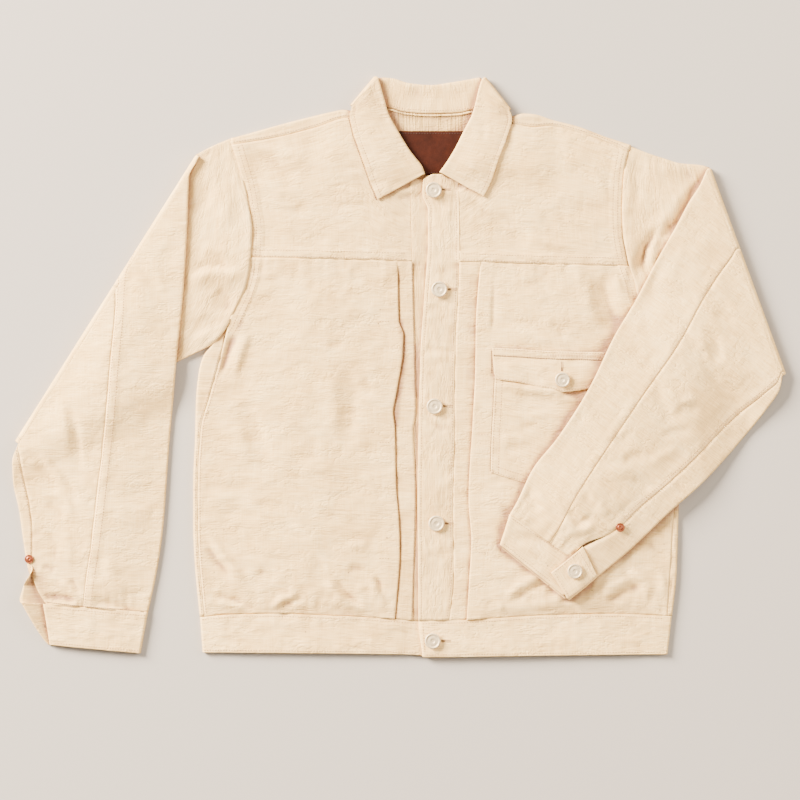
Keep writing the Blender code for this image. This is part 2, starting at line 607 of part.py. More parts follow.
def sleeve_rings(right):
    """Each ring: its two ends on the flattened outline, bend angle, hollow, and place along the sleeve."""
    armhole, head_top, fold = head_edges(right)
    fold = np.asarray(fold, float)
    along = (fold[1] - fold[0]) / np.linalg.norm(fold[1] - fold[0])
    out = np.array([along[1], -along[0]])
    if out[0] * (-1 if right else 1) < 0:
        out = -out
    axis = fold - out * FOLD_RADIUS
    rings = []
    low = np.asarray(armhole[-1], float)
    for k, share in enumerate([0, 0.25, 0.5, 0.75]):
        top = walk(head_top, [share])[0]
        bottom = low + (fold[1] - low) * share
        rings.append(dict(ends=(top, bottom), curve=(1 - share) ** 1.6, angle=0, zone="head", share=share))
    for angle in (0, 45, 90, 135, 180):
        rings.append(dict(ends=axis, curve=0, angle=angle, zone="bend", share=1, out=out))
    inner, outer = (RIGHT_INNER, RIGHT_OUTER) if right else (LEFT_INNER, LEFT_OUTER)
    shares = [0.05, 0.12, 0.2, 0.29, 0.38, 0.48, 0.58, 0.68, 0.77, 0.85, 0.92, 0.96, 1]
    a = walk(np.vstack([axis[:1], inner[1:]]), shares)
    b = walk(np.vstack([axis[1:], outer[1:]]), np.array(shares) ** 0.8)
    for share, p, q in zip(shares, a, b):
        rings.append(dict(ends=np.array([p, q]), curve=0, angle=180, zone="arm", share=share))
    return rings, np.asarray(armhole, float), out


def seam_share(ring, table):
    """Where a seam crosses a ring, as a fraction of its width."""
    t = np.linspace(0.02, 0.985, 1200)
    a, b = ring["ends"]
    spots = a + (b - a) * t[:, None]
    seam = walk(table, np.linspace(0, 1, 160))
    gap = np.linalg.norm(spots[:, None] - seam[None], axis=2).min(axis=1)
    return t[gap.argmin()]


def sleeve_spot(right, ring, armhole, s, h, width, tall):
    """A point of a ring's section (s along it, h through it) on the jacket."""
    a, b = ring["ends"]
    t = s / width
    spot = a + (b - a) * t
    if ring["curve"]:
        bulge = walk(armhole, [np.clip(t, 0, 1)])[0] - (armhole[0] + (armhole[-1] - armhole[0]) * t)
        spot = spot + bulge * ring["curve"]
    if ring["zone"] == "head":
        outward = -1 if ring["ends"][0][0] < 0 else 1
        return [spot[0] + outward * ARMHOLE_GAP * ring["curve"], spot[1], h]
    if ring["zone"] == "bend":
        angle = math.radians(ring["angle"])
        spot = spot + ring["out"] * math.sin(angle) * (FOLD_RADIUS - h)
        return [spot[0], spot[1], FOLD_RADIUS - (FOLD_RADIUS - h) * math.cos(angle)]
    near_fold = smooth(ring["share"] / 0.2)
    start = 2 * FOLD_RADIUS - HEAD_TALL
    low = start + (support(right, spot) - start) * near_fold
    return [spot[0], spot[1], low + tall - h]


def ring_section(right, ring, armhole, seams):
    """Both faces of the top sleeve and of the under sleeve on one ring."""
    a, b = ring["ends"]
    width = np.linalg.norm(b - a)
    edge = SIDE_TALL + (HEAD_TALL - SIDE_TALL) * ring["share"] if ring["zone"] == "head" else HEAD_TALL
    puff = {"head": 2.2 * (1 - ring["share"]), "bend": 0.0, "arm": 5.0 * smooth(ring["share"] / 0.25)}[ring["zone"]]
    middle, half = CLOTH / 2, edge / 2
    roll = half - middle

    def tall(s):
        return edge + puff * np.sin(math.pi * np.clip((s - half) / (width - edge), 0, 1)) ** 1.6

    opened = seams["open"]
    slit, mid = seams["slit"] * width, seams["middle"] * width
    slit = min(slit, width - half - 0.6)
    tail = max(width - half - slit - SEAM / 2, 0.5)
    across_b = np.linspace(width - half, half, 9)
    turn = 180 * (1 - opened)
    centre = (width - half, half)
    far = arc(centre, roll, 90, -turn - 1e-6, ROLL_FACETS)
    heading = math.radians(-turn)
    end = far[-1] + np.array([math.cos(heading), math.sin(heading)]) * tail
    path = np.vstack([[end, (end + far[-1]) / 2], far[::-1],
                      np.stack([across_b, tall(across_b) - middle], axis=1),
                      arc((half, half), roll, 90, 180, ROLL_FACETS),
                      [[half + (mid - half) * f - SEAM / 2 * (f == 1), middle] for f in (0.33, 0.67, 1)]])
    under_s = np.linspace(mid + SEAM / 2, slit - SEAM / 2 - seams["gap"], 7)
    under = np.stack([under_s, np.full(7, middle)], axis=1)
    made = []
    for section in (path, under):
        pair = []
        for side in ribbon(section, CLOTH):
            s = side[:, 0]
            s = stretch(s, width, half, seams["lean"])
            pair.append([sleeve_spot(right, ring, armhole, p, h, width, float(tall(p))) for p, h in
                         zip(s, side[:, 1])])
        made.append(pair)
    return made


def stretch(s, width, half, lean):
    """Widens the rolled edges where a ring crosses its edge at a slant."""
    first, last = lean
    inside = half * first + (s - half) * (width - half * (first + last)) / (width - 2 * half)
    return np.where(s < half, s * first, np.where(s > width - half, width - (width - s) * last, inside))


def sleeve(right):
    rings, armhole, out = sleeve_rings(right)
    middle_seam = RIGHT_MIDDLE_SEAM if right else LEFT_MIDDLE_SEAM
    slit_seam = RIGHT_SLIT_SEAM if right else LEFT_SLIT_SEAM
    arms = [ring for ring in rings if ring["zone"] == "arm"]
    at_fold = (seam_share(rings[8], middle_seam), seam_share(rings[8], slit_seam))
    top, under = [[], []], [[], []]
    for k, ring in enumerate(rings):
        seams = dict(open=0.0, gap=0.0, lean=(1, 1))
        if ring["zone"] == "arm":
            seams["middle"], seams["slit"] = seam_share(ring, middle_seam), seam_share(ring, slit_seam)
            low = smooth((ring["share"] - 0.84) / 0.16)
            seams["open"] = 0.86 * low if right else 0.0
            seams["gap"] = 0.0 if right else 3.0 * math.sin(math.pi * low)
            index = k - (len(rings) - len(arms))
            before = arms[max(index - 1, 0)]["ends"] if index else rings[8]["ends"]
            after = arms[min(index + 1, len(arms) - 1)]["ends"]
            direction = ring["ends"][1] - ring["ends"][0]
            direction = direction / np.linalg.norm(direction)
            lean = []
            for side in range(2):
                run = after[side] - before[side]
                run = run / np.linalg.norm(run)
                lean.append(min(1.9, 1 / max(0.3, abs(run[0] * direction[1] - run[1] * direction[0]))))
            seams["lean"] = lean
        else:
            share = ring["share"]
            seams["middle"] = 0.3 + (at_fold[0] - 0.3) * share
            seams["slit"] = 0.93 + (at_fold[1] - 0.93) * share
        section = ring_section(right, ring, armhole, seams)
        for pair, made in zip((top, under), section):
            pair[0].append(made[0])
            pair[1].append(made[1])
    side = "right" if right else "left"
    loft(f"sleeve_{side}_top", *top, denim)
    loft(f"sleeve_{side}_under", *under, denim)


def cuff(right):
    """A doubled band round the end of the flattened sleeve; the rows run from its seam to its rim."""
    middle = DOUBLE / 2
    if right:
        rows = [((-303, 45.5), (-414, 53.5)), ((-307, 24), (-410, 32)), ((-311, 3), (-407, 12))]
    else:
        rows = [((79, 148), (173, 83.5)), ((75, 134), (158, 71.5)), ((70, 119), (143.5, 60))]
    faces = [[], []]
    for v, (a, b) in zip((0, 0.5, 1), rows):
        a, b = np.array(a, float), np.array(b, float)
        a = a - (0 if v else 1) * np.array([0, SEAM * 1.4])
        b = b - (0 if v else 1) * np.array([0, SEAM * 1.4])
        width = np.linalg.norm(b - a)
        edge = 5.6
        half = edge / 2
        roll = half - middle
        hollow = 1.6
        if right:
            upper = np.linspace(width, half, 9)
            reach = width + 22 * (1 - v) + 3
            lower = np.linspace(half, reach, 10)[1:]
            path = np.vstack([np.stack([upper, edge - middle + hollow * np.sin(math.pi * (upper - half) / width)],
                                       axis=1),
                              arc((half, half), roll, 90, 180, 4),
                              np.stack([lower, middle + 0.9 * smooth((lower - width + 8) / 25)], axis=1)])
        else:
            upper = np.linspace(width - 8, half, 9)
            over = DOUBLE + REST
            path = np.vstack([np.stack([upper, np.full(9, edge - middle)], axis=1),
                              arc((half, half), roll, 90, 180, 4),
                              np.stack([np.linspace(half, width - half - over / 2, 9)[1:], np.full(8, middle)], axis=1),
                              arc((width - half - over / 2, half + over / 2), roll + over / 2, -90, 180, 5),
                              np.stack([np.linspace(width - half - over / 2, width - 40 + 4 * v, 6)[1:],
                                        np.full(5, edge - middle + over)], axis=1)])
        for face, side in zip(faces, ribbon(path, DOUBLE)):
            row = []
            for s, h in side:
                spot = a + (b - a) * s / width
                low = support(right, spot) if not right else 0
                row.append([spot[0], spot[1], low + h])
            face.append(row)
    loft(f"cuff_{'right' if right else 'left'}", *faces, denim)


# --- fastenings
def turned(name, x, y, z, profile, slot, sides=14):
    """A closed lathe form on an upright axis: profile is (radius, height) from the bottom centre to the top."""
    points, faces = [[x, y, z + profile[0][1]]], []
    for radius, height in profile[1:-1]:
        for k in range(sides):
            angle = 2 * math.pi * k / sides
            points.append([x + radius * math.cos(angle), y + radius * math.sin(angle), z + height])
    points.append([x, y, z + profile[-1][1]])
    for k in range(sides):
        faces.append([0, 1 + (k + 1) % sides, 1 + k])
    for ring in range(len(profile) - 3):
        for k in range(sides):
            a, b = 1 + ring * sides + k, 1 + ring * sides + (k + 1) % sides
            faces.append([a, b, b + sides, a + sides])
    last = 1 + (len(profile) - 3) * sides
    for k in range(sides):
        faces.append([last + k, last + (k + 1) % sides, len(points) - 1])
    return solid(name, points, faces, slot)


def button(name, x, y, z, radius):
    profile = [(0, 0), (radius * 0.55, 0), (radius * 0.5, 1.4), (radius, 2.0), (radius * 0.97, 3.2),
               (radius * 0.8, 3.8), (radius * 0.35, 3.1), (0, 3.0)]
    turned(name, x, y, z, profile, button_metal)


def fastenings():
    for k, (x, y) in enumerate(FRONT_BUTTONS):
        top = PLACKET_LEFT_TOP + float(lift(x, 500)) * (y > 450) if y > 30 else 4.7 + 2.05
        button(f"button_{k + 1}", x, y, top + REST, BUTTON_RADIUS)
    x, y = POCKET_BUTTON
    button("button_pocket", x, y, float(front_top(False, x, y)) + 2 * (CLOTH + REST) + 1.9, SMALL_BUTTON_RADIUS)
    x, y = CUFF_BUTTON
    button("button_cuff", x, y, float(support(False, (x, y))) + 5.6 + DOUBLE + 2 * REST, SMALL_BUTTON_RADIUS)
    for name, (x, y), right in (("rivet_right", RIVET_RIGHT, True), ("rivet_left", RIVET_LEFT, False)):
        z = float(support(right, (x, y))) + HEAD_TALL + (0.6 if right else 3.2)
        profile = [(0, 0), (RIVET_RADIUS, 0), (RIVET_RADIUS, 0.7), (RIVET_RADIUS * 0.6, 1.3), (0, 1.1)]
        turned(name, x, y, z, profile, rivet_copper, 12)


for leftover in list(bpy.data.objects):
    bpy.data.objects.remove(leftover)
jacket = bpy.data.collections.new("denim_jacket")
bpy.context.scene.collection.children.link(jacket)
denim = material("denim", (0.86, 0.75, 0.61), 0.9)
button_metal = material("button_metal", (0.82, 0.77, 0.7), 0.35, 0.6)
rivet_copper = material("rivet_copper", (0.6, 0.29, 0.15), 0.4, 0.9)
leather = material("label_leather", (0.25, 0.1, 0.04), 0.6)

back_panel()
back_yoke()
for on_right in (True, False):
    front_yoke(on_right)
    front(on_right)
plackets()
waistband()
pocket_and_flap()
collar()
neck_label()
for on_right in (True, False):
    sleeve(on_right)
    cuff(on_right)
fastenings()
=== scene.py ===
"""A buttoned denim jacket of undyed cotton, laid flat on its back with both sleeves folded over.

Every table is in millimetres on the jacket: x runs from the centre front to the wearer's left,
y from the hem to the collar and z up from the floor. The frame's origin is the middle of the outline.
"""

import math

import bpy
import numpy as np
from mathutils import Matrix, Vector
from mathutils.bvhtree import BVHTree


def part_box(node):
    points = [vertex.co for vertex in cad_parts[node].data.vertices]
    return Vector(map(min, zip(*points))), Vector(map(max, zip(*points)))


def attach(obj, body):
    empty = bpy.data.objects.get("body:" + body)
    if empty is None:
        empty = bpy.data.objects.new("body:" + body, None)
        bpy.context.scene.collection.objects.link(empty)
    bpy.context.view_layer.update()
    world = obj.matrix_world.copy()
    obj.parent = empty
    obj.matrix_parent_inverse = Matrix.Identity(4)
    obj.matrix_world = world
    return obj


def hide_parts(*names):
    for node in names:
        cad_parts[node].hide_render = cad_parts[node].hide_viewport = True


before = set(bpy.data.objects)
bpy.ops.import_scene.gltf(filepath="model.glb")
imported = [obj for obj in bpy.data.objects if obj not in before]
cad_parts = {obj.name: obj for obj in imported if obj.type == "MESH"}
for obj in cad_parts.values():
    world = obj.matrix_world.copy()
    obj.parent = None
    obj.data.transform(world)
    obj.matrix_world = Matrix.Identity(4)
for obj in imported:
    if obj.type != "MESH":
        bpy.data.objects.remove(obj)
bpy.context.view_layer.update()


# --- the studio: a pale matt floor, four soft lamps and the camera. The strongest lamp rakes in from the left.
# The camera looks straight down from far away, so the jacket shows with hardly any perspective.
CAMERA_HIGH = 3.2
LENS_PLANE = 0.006
SENSOR_WIDE = 36
VIEW_WIDE = 0.848
VIEW_MIDDLE = (0.0014, -0.0358)
FLOOR_HALF = 4
FLOOR_Z = -0.0003
LAMP_COLOUR = (1.0, 0.85, 0.70)


def link(name, data):
    """A new object in the scene."""
    made = bpy.data.objects.new(name, data)
    bpy.context.scene.collection.objects.link(made)
    return made


def plain_finish(name, colour, roughness):
    """A material of one colour; its own tree and shader come with it."""
    made = bpy.data.materials.new(name)
    made.use_nodes = True
    shader = made.node_tree.nodes["Principled BSDF"]
    shader.inputs["Base Color"].default_value = (*colour, 1)
    shader.inputs["Roughness"].default_value = roughness
    return made, made.node_tree, shader


camera = link("camera", bpy.data.cameras.new("camera"))
camera.data.sensor_width = SENSOR_WIDE
camera.data.lens = SENSOR_WIDE * (CAMERA_HIGH - LENS_PLANE) / VIEW_WIDE
camera.data.clip_end = 30
camera.location = (*VIEW_MIDDLE, CAMERA_HIGH)
bpy.context.scene.camera = camera

floor_mesh = bpy.data.meshes.new("floor")
floor_mesh.from_pydata([(FLOOR_HALF * x, FLOOR_HALF * y, FLOOR_Z) for x, y in ((-1, -1), (1, -1), (1, 1), (-1, 1))],
                       [], [(0, 1, 2, 3)])
floor_mesh.materials.append(plain_finish("floor_pale", (0.455, 0.435, 0.405), 0.8)[0])
link("floor", floor_mesh)

for name, place, size, power in (
    ("light_overhead", (-0.2, 0.5, 2.4), 1.8, 34),
    ("light_left", (-4.2, 2.6, 2.3), 2.4, 2800),
    ("light_right", (4.2, 1.2, 2.4), 2.4, 340),
    ("light_hem", (0.6, -4.2, 2.2), 1.6, 72),
):
    lamp = link(name, bpy.data.lights.new(name, "AREA"))
    lamp.data.size, lamp.data.energy, lamp.data.color = size, power, LAMP_COLOUR
    lamp.location = place
    lamp.rotation_euler = (-Vector(place)).to_track_quat("-Z", "Y").to_euler()
sky = bpy.data.worlds.new("studio_air")
sky.use_nodes = True
sky.node_tree.nodes["Background"].inputs["Color"].default_value = (1.0, 0.88, 0.76, 1)
sky.node_tree.nodes["Background"].inputs["Strength"].default_value = 0.13
bpy.context.scene.world = sky


# --- the cloth of every panel: undyed ring-spun cotton in a right-hand twill, unwashed.
# The yarn is uneven, so it shows slubs both ways, and bits of cotton seed are left in it as dark flecks.
THREAD_PITCH = 0.55
CLOTH_COLOUR = (0.82, 0.565, 0.228)
CLOTH_SHADE = (0.69, 0.45, 0.165)
CLOTH_LIGHT = (0.88, 0.645, 0.295)
# The next two tints are painted light: the first darkens and warms the cloth in folds and fine creases as painted
# shade, the second lightens ridges as a painted highlight.
PAINTED_SHADE_TINT = (0.39, 0.295, 0.45)
PAINTED_HIGHLIGHT_TINT = (1.22, 1.26, 1.32)
# The rib tint darkens the grooves between the ribs: painted shade.
RIB_SHADE = (0.56, 0.54, 0.47)
FLECK_COLOUR = (0.26, 0.16, 0.09)


def node(tree, kind, **values):
    """One shader node; names of sockets take their values, and a socket is linked when it is given one."""
    made = tree.nodes.new("ShaderNode" + kind)
    for key, value in values.items():
        if hasattr(made, key) and key not in made.inputs:
            setattr(made, key, value)
            continue
        socket = made.inputs[int(key[1:]) if key[0] == "_" else key.replace("_", " ")]
        if isinstance(value, bpy.types.NodeSocket):
            tree.links.new(value, socket)
        else:
            socket.default_value = value
    return made


def ramp(tree, fac, *stops):
    """Colour at each place from 0 to 1, as (place, colour) from the first to the last."""
    made = node(tree, "ValToRGB", _0=fac)
    held = made.color_ramp.elements
    for stop, (place, colour) in zip(held, (stops[0], stops[-1])):
        stop.position, stop.color = place, (*colour, 1)
    for place, colour in stops[1:-1]:
        held.new(place).color = (*colour, 1)
    return made.outputs[0]


def multiplied(tree, share, colour, tint):
    """A colour with a tint laid over it by a share."""
    return node(tree, "Mix", data_type="RGBA", blend_type="MULTIPLY", _0=share, _6=colour, _7=(*tint, 1)).outputs[2]


def twill_group():
    """Twill weave with slubs and flecks, from the cloth's own coordinates in millimetres; painted shade in folds,
    painted light on ridges.
    """
    tree = bpy.data.node_groups.new("twill_weave", "ShaderNodeTree")
    for name, way, kind in (("Cloth", "INPUT", "Vector"), ("Slub", "INPUT", "Float"), ("Colour", "OUTPUT", "Color"),
                            ("Relief", "OUTPUT", "Float"), ("Roughness", "OUTPUT", "Float")):
        tree.interface.new_socket(name, in_out=way, socket_type="NodeSocket" + kind)
    inside, out = tree.nodes.new("NodeGroupInput"), tree.nodes.new("NodeGroupOutput")
    cloth = inside.outputs["Cloth"]

    def math_of(operation, a, b):
        return node(tree, "Math", operation=operation, _0=a, _1=b).outputs[0]

    def ranged(value, low, high, **more):
        return node(tree, "MapRange", Value=value, From_Min=low, From_Max=high, **more).outputs[0]

    def total(*terms):
        """The sum of terms, each a socket or a pair of a socket and what it is multiplied by."""
        made = [math_of("MULTIPLY", *term) if isinstance(term, tuple) else term for term in terms]
        result = made[0]
        for term in made[1:]:
            result = math_of("ADD", result, term)
        return result

    def streaks(scale, detail, seed):
        moved = node(tree, "Mapping", Vector=cloth, Scale=scale, Location=(seed, seed * 1.7, 0))
        return node(tree, "TexNoise", Vector=moved.outputs[0], Scale=1.0, Detail=detail, Roughness=0.55).outputs["Fac"]

    def creases(scale, seed, thin):
        wave = math_of("SUBTRACT", math_of("MULTIPLY", streaks(scale, 2.0, seed), 2.0), 1.0)
        ridge = ranged(math_of("ABSOLUTE", wave, 0.0), thin, 0.0, interpolation_type="SMOOTHSTEP")
        return math_of("MULTIPLY", ridge, ranged(streaks((0.03, 0.05, 1), 1.0, seed + 14), 0.42, 0.62))

    weft, warp = streaks((0.045, 0.9, 1), 2.0, 3), streaks((0.9, 0.03, 1), 2.0, 11)
    blotch, fuzz = streaks((0.022, 0.03, 1), 3.0, 23), streaks((1.6, 1.6, 1), 2.0, 31)
    diagonal = node(tree, "Mapping", Vector=cloth, Rotation=(0, 0, math.radians(62)))
    twill = node(tree, "TexWave", Vector=diagonal.outputs[0], Scale=0.314 / (2 * THREAD_PITCH), Distortion=1.2,
                 Detail=2.0, Detail_Scale=2.5)
    threads = node(tree, "TexWave", Vector=cloth, Scale=0.314 / THREAD_PITCH, Distortion=0.6, Detail=1.0)
    streak = math_of("MULTIPLY", math_of("SUBTRACT", total(weft, (warp, 0.5)), 0.75), inside.outputs["Slub"])
    tones = ramp(tree, total((streak, 1.5), (blotch, 0.9)), (0.12, CLOTH_SHADE), (0.45, CLOTH_COLOUR),
                 (0.78, CLOTH_LIGHT))
    cells = node(tree, "TexVoronoi", Vector=cloth, Scale=0.075, Randomness=1.0)
    chance = node(tree, "SeparateColor", _0=cells.outputs["Color"])
    near = ranged(cells.outputs["Distance"], 0.035, 0.085, To_Min=1.0, To_Max=0.0)
    rare = math_of("MULTIPLY", near, math_of("GREATER_THAN", chance.outputs["Red"], 0.66))
    fleck = math_of("MULTIPLY", rare, math_of("ADD", chance.outputs["Green"], 0.15))
    coloured = node(tree, "Mix", data_type="RGBA", _0=fleck, _6=tones, _7=(*FLECK_COLOUR, 1)).outputs[2]
    fine, crumpled, broad = creases((0.05, 0.24, 1), 47, 0.22), creases((0.08, 0.13, 1), 83, 0.16), creases(
        (0.02, 0.05, 1), 97, 0.34)
    # The attribute read here carries painted shading, and fine creases add to it, so their valleys get painted shade
    # too.
    folds = node(tree, "Attribute", attribute_name="painted_shading").outputs["Fac"]
    shaded = multiplied(tree, ranged(total(folds, (crumpled, 0.16)), 0.0, 1.0), coloured, PAINTED_SHADE_TINT)
    shaded = multiplied(tree, ranged(folds, 0.0, -1.0), shaded, PAINTED_HIGHLIGHT_TINT)
    relief = total((twill.outputs["Fac"], 0.22), (threads.outputs["Fac"], 0.10), (streak, 0.42), (fuzz, 0.35),
                   (fine, 0.9), (crumpled, -1.1), (broad, 1.9))
    tree.links.new(shaded, out.inputs["Colour"])
    tree.links.new(relief, out.inputs["Relief"])
    tree.links.new(ranged(fuzz, 0.0, 1.0, To_Min=0.82, To_Max=0.98), out.inputs["Roughness"])
    return tree


twill_weave = twill_group()


def denim_finish(name, slub, relief, ribs=False):
    """The cloth's material, with upright ribs where they are asked for, their grooves darkened with painted shade."""
    made, tree, shader = plain_finish(name, CLOTH_COLOUR, 0.9)
    spots = node(tree, "UVMap", uv_map="cloth")
    weave = node(tree, "Group", node_tree=twill_weave)
    tree.links.new(spots.outputs[0], weave.inputs["Cloth"])
    weave.inputs["Slub"].default_value = slub
    colour, height = weave.outputs["Colour"], weave.outputs["Relief"]
    if ribs:
        upright = node(tree, "Mapping", Vector=spots.outputs[0], Scale=(0.62, 0.02, 1))
        lines = node(tree, "TexNoise", Vector=upright.outputs[0], Scale=1.0, Detail=2.0, Roughness=0.6)
        dark = node(tree, "MapRange", Value=lines.outputs["Fac"], From_Min=0.52, From_Max=0.36).outputs[0]
        colour = multiplied(tree, dark, colour, RIB_SHADE)
        height = node(tree, "Math", operation="SUBTRACT", _0=height, _1=dark).outputs[0]
    bump = node(tree, "Bump", Height=height, Strength=relief, Distance=0.0005)
    for source, socket in ((colour, "Base Color"), (weave.outputs["Roughness"], "Roughness"),
                           (bump.outputs[0], "Normal")):
        tree.links.new(source, shader.inputs[socket])
    for socket, value in (("Specular IOR Level", 0.15), ("Sheen Weight", 0.08), ("Sheen Roughness", 0.45),
                          ("Sheen Tint", (1.0, 0.93, 0.84, 1))):
        shader.inputs[socket].default_value = value
    return made


denim = denim_finish("undyed_denim", 1.0, 0.55)
denim_ribbed = denim_finish("undyed_denim_ribbed", 0.8, 0.8, ribs=True)


# --- the back panel: one flat piece that lies on the floor, with its two side edges rolled over to the front.
# Plain twill with an overlocked edge inside; its side seams are felled and sewn with two rows.
# SHIFT takes the jacket's origin to the frame's, CLOTH is the wall of one layer and SEAM half the gap at a seam.
MM = 1000
SHIFT = (37.0, -307.5)
CLOTH = 1.1
SEAM = 0.12
SIDE_TALL = 4.6
SIDE_X = 248
BACK_SEAM_START, BACK_SEAM_LONG = -196, 404
TURNED = 0.8
SIDE_RIGHT = [(4, -245), (41, -248), (61, -250), (94, -253), (137, -255), (183, -255), (232, -253),
              (272, -252), (302, -249), (319, -244), (330, -235)]
SIDE_LEFT = [(2, 248), (42, 253), (89, 258), (120, 259), (155, 260), (187, 261), (232, 260),
             (272, 257), (302, 251), (323, 244), (335, 235)]
ARMHOLE_RIGHT = [(330, -235), (339, -226), (352, -217), (369, -209), (389, -200), (409, -195),
                 (430, -193), (453, -192), (474, -195), (496, -199), (517, -205), (540, -212), (549, -216)]
ARMHOLE_LEFT = [(335, 235), (347, 228), (362, 223), (381, 216), (398, 212), (416, 206), (430, 203),
                (447, 200), (473, 199), (501, 200), (525, 203), (540, 208), (551, 213)]
SIDE_SEAM_RIGHT = [(39, -243), (137, -250), (183, -250), (240, -247), (277, -237), (302, -230), (318, -226)]
SIDE_SEAM_LEFT = [(39, 248), (137, 254), (187, 256), (240, 254), (277, 250), (302, 245), (322, 238)]
WAIST_TOP_RIGHT = [(-250, 41), (-217, 44), (-168, 45), (-109, 43), (-36, 39), (-22, 37.4), (-10, 36.6)]
WAIST_TOP_LEFT = [(-20, 37), (18, 38), (45, 39), (110, 43), (194, 45), (255, 42)]
YOKE_SEAM = [(-196, 423), (-110, 421.5), (-31, 419.5), (39, 418.5), (112, 416), (208, 414)]
SIDES = {True: "right", False: "left"}
ARMHOLE = {True: ARMHOLE_RIGHT, False: ARMHOLE_LEFT}
WAIST_TOP = {True: WAIST_TOP_RIGHT, False: WAIST_TOP_LEFT}
layers = {}
placed_points = {}


def smooth(t):
    t = np.clip(t, 0, 1)
    return t * t * (3 - 2 * t)


def bell(off, wide):
    return np.exp(-(off / wide) ** 2)


def joined(a, b):
    """Two columns as the rows of one array; either may be a single number."""
    return np.stack(np.broadcast_arrays(a, b), axis=1)


def grid(x, y, z):
    return np.stack([x, y, z], axis=-1)


def bend_through(t, xs, ys):
    """A smooth line through points, which never swings past them."""
    xs, ys = np.asarray(xs, float), np.asarray(ys, float)
    slope = np.diff(ys) / np.diff(xs)
    tangent = np.zeros(len(xs))
    same = slope[1:] * slope[:-1] > 0
    tangent[1:-1][same] = 2 * slope[1:][same] * slope[:-1][same] / (slope[1:] + slope[:-1])[same]
    tangent[0], tangent[-1] = slope[0], slope[-1]
    t = np.clip(t, xs[0], xs[-1])
    i = np.clip(np.searchsorted(xs, t) - 1, 0, len(xs) - 2)
    gap = xs[i + 1] - xs[i]
    f = (t - xs[i]) / gap
    return ((1 + 2 * f) * (1 - f) ** 2 * ys[i] + f * (1 - f) ** 2 * gap * tangent[i]
            + f * f * (3 - 2 * f) * ys[i + 1] + f * f * (f - 1) * gap * tangent[i + 1])


def line(table, at):
    return bend_through(at, [p[0] for p in table], [p[1] for p in table])


def unevenness(x, y, size, seed):
    """Gentle bumps from -1 to 1, about size millimetres across."""
    lattice = np.random.default_rng(seed).uniform(-1, 1, (64, 64))
    gx, gy = np.asarray(x, float) / size + 31.3, np.asarray(y, float) / size + 12.7
    i, j = np.floor(gx).astype(int), np.floor(gy).astype(int)
    fx, fy = smooth(gx - i), smooth(gy - j)
    low = lattice[i % 64, j % 64] * (1 - fx) + lattice[(i + 1) % 64, j % 64] * fx
    high = lattice[i % 64, (j + 1) % 64] * (1 - fx) + lattice[(i + 1) % 64, (j + 1) % 64] * fx
    return low * (1 - fy) + high * fy


def creased(creases, x, y):
    """Height of creases: half width, height and the points of each; one flank is steeper than the other."""
    x, y = np.broadcast_arrays(np.asarray(x, float), np.asarray(y, float))
    total = np.zeros(x.shape)
    for wide, tall, spots in creases:
        spots = np.asarray(spots, float)
        low, high = spots.min(axis=0) - 4 * wide, spots.max(axis=0) + 4 * wide
        near = (x > low[0]) & (x < high[0]) & (y > low[1]) & (y < high[1])
        if not near.any():
            continue
        px, py = x[near], y[near]
        runs = np.diff(spots, axis=0)
        longs = np.linalg.norm(runs, axis=1)
        ends = np.concatenate([[0], np.cumsum(longs)]) / longs.sum()
        best, side, share = np.full(px.shape, 1e9), np.zeros(px.shape), np.zeros(px.shape)
        for (ax, ay), (rx, ry), long, start, end in zip(spots, runs, longs, ends, ends[1:]):
            t = np.clip(((px - ax) * rx + (py - ay) * ry) / long ** 2, 0, 1)
            dx, dy = px - ax - rx * t, py - ay - ry * t
            gap = np.hypot(dx, dy)
            closer = gap < best
            best = np.where(closer, gap, best)
            side = np.where(closer, rx * dy - ry * dx, side)
            share = np.where(closer, start + (end - start) * t, share)
        width = np.where(side > 0, wide, 1.8 * wide)
        fade = smooth(share / 0.35 + 0.12) * smooth((1 - share) / 0.35 + 0.12)
        total[near] += tall * bell(best, width) * fade
    return total


def crinkles(seed, count, box, tilt, long, wide, tall):
    """Many short fine creases of unwashed cloth, mostly along the weft; tilt is in degrees."""
    draw = np.random.default_rng(seed)
    made = []
    for _ in range(count):
        x, y = draw.uniform(box[0], box[2]), draw.uniform(box[1], box[3])
        angle = math.radians(tilt + draw.normal(0, 16))
        half = draw.uniform(0.4, 1.0) * long / 2
        bow = draw.uniform(-0.18, 0.18) * half
        ux, uy = math.cos(angle), math.sin(angle)
        height = draw.choice([-1, 1]) * draw.uniform(0.4, 1.0) * tall
        made.append((draw.uniform(0.7, 1.3) * wide, height,
                     [(x - ux * half, y - uy * half), (x - uy * bow, y + ux * bow), (x + ux * half, y + uy * half)]))
    return made


def ribbon(path, wall):
    """Both faces of a strip of cloth whose middle follows path, an (n, 2) section."""
    step = np.diff(path, axis=0)
    step /= np.linalg.norm(step, axis=1, keepdims=True)
    before, after = np.vstack([step[:1], step]), np.vstack([step, step[-1:]])
    mean = before + after
    mean /= np.linalg.norm(mean, axis=1, keepdims=True)
    out = joined(-mean[:, 1], mean[:, 0])
    reach = wall / 2 / np.clip((mean * after).sum(axis=1), 0.6, 1)
    return path + out * reach[:, None], path - out * reach[:, None]


def arc(centre, radius, start, turn, pieces):
    """Points of an arc after its first one, in degrees."""
    angles = np.radians(start + turn * np.arange(1, pieces + 1) / pieces)
    return joined(centre[0] + radius * np.cos(angles), centre[1] + radius * np.sin(angles))


def across(y, path):
    """A section in x and z, set at height y, which may vary along it."""
    return np.stack([path[:, 0], np.broadcast_to(y, len(path)), path[:, 1]], axis=1)


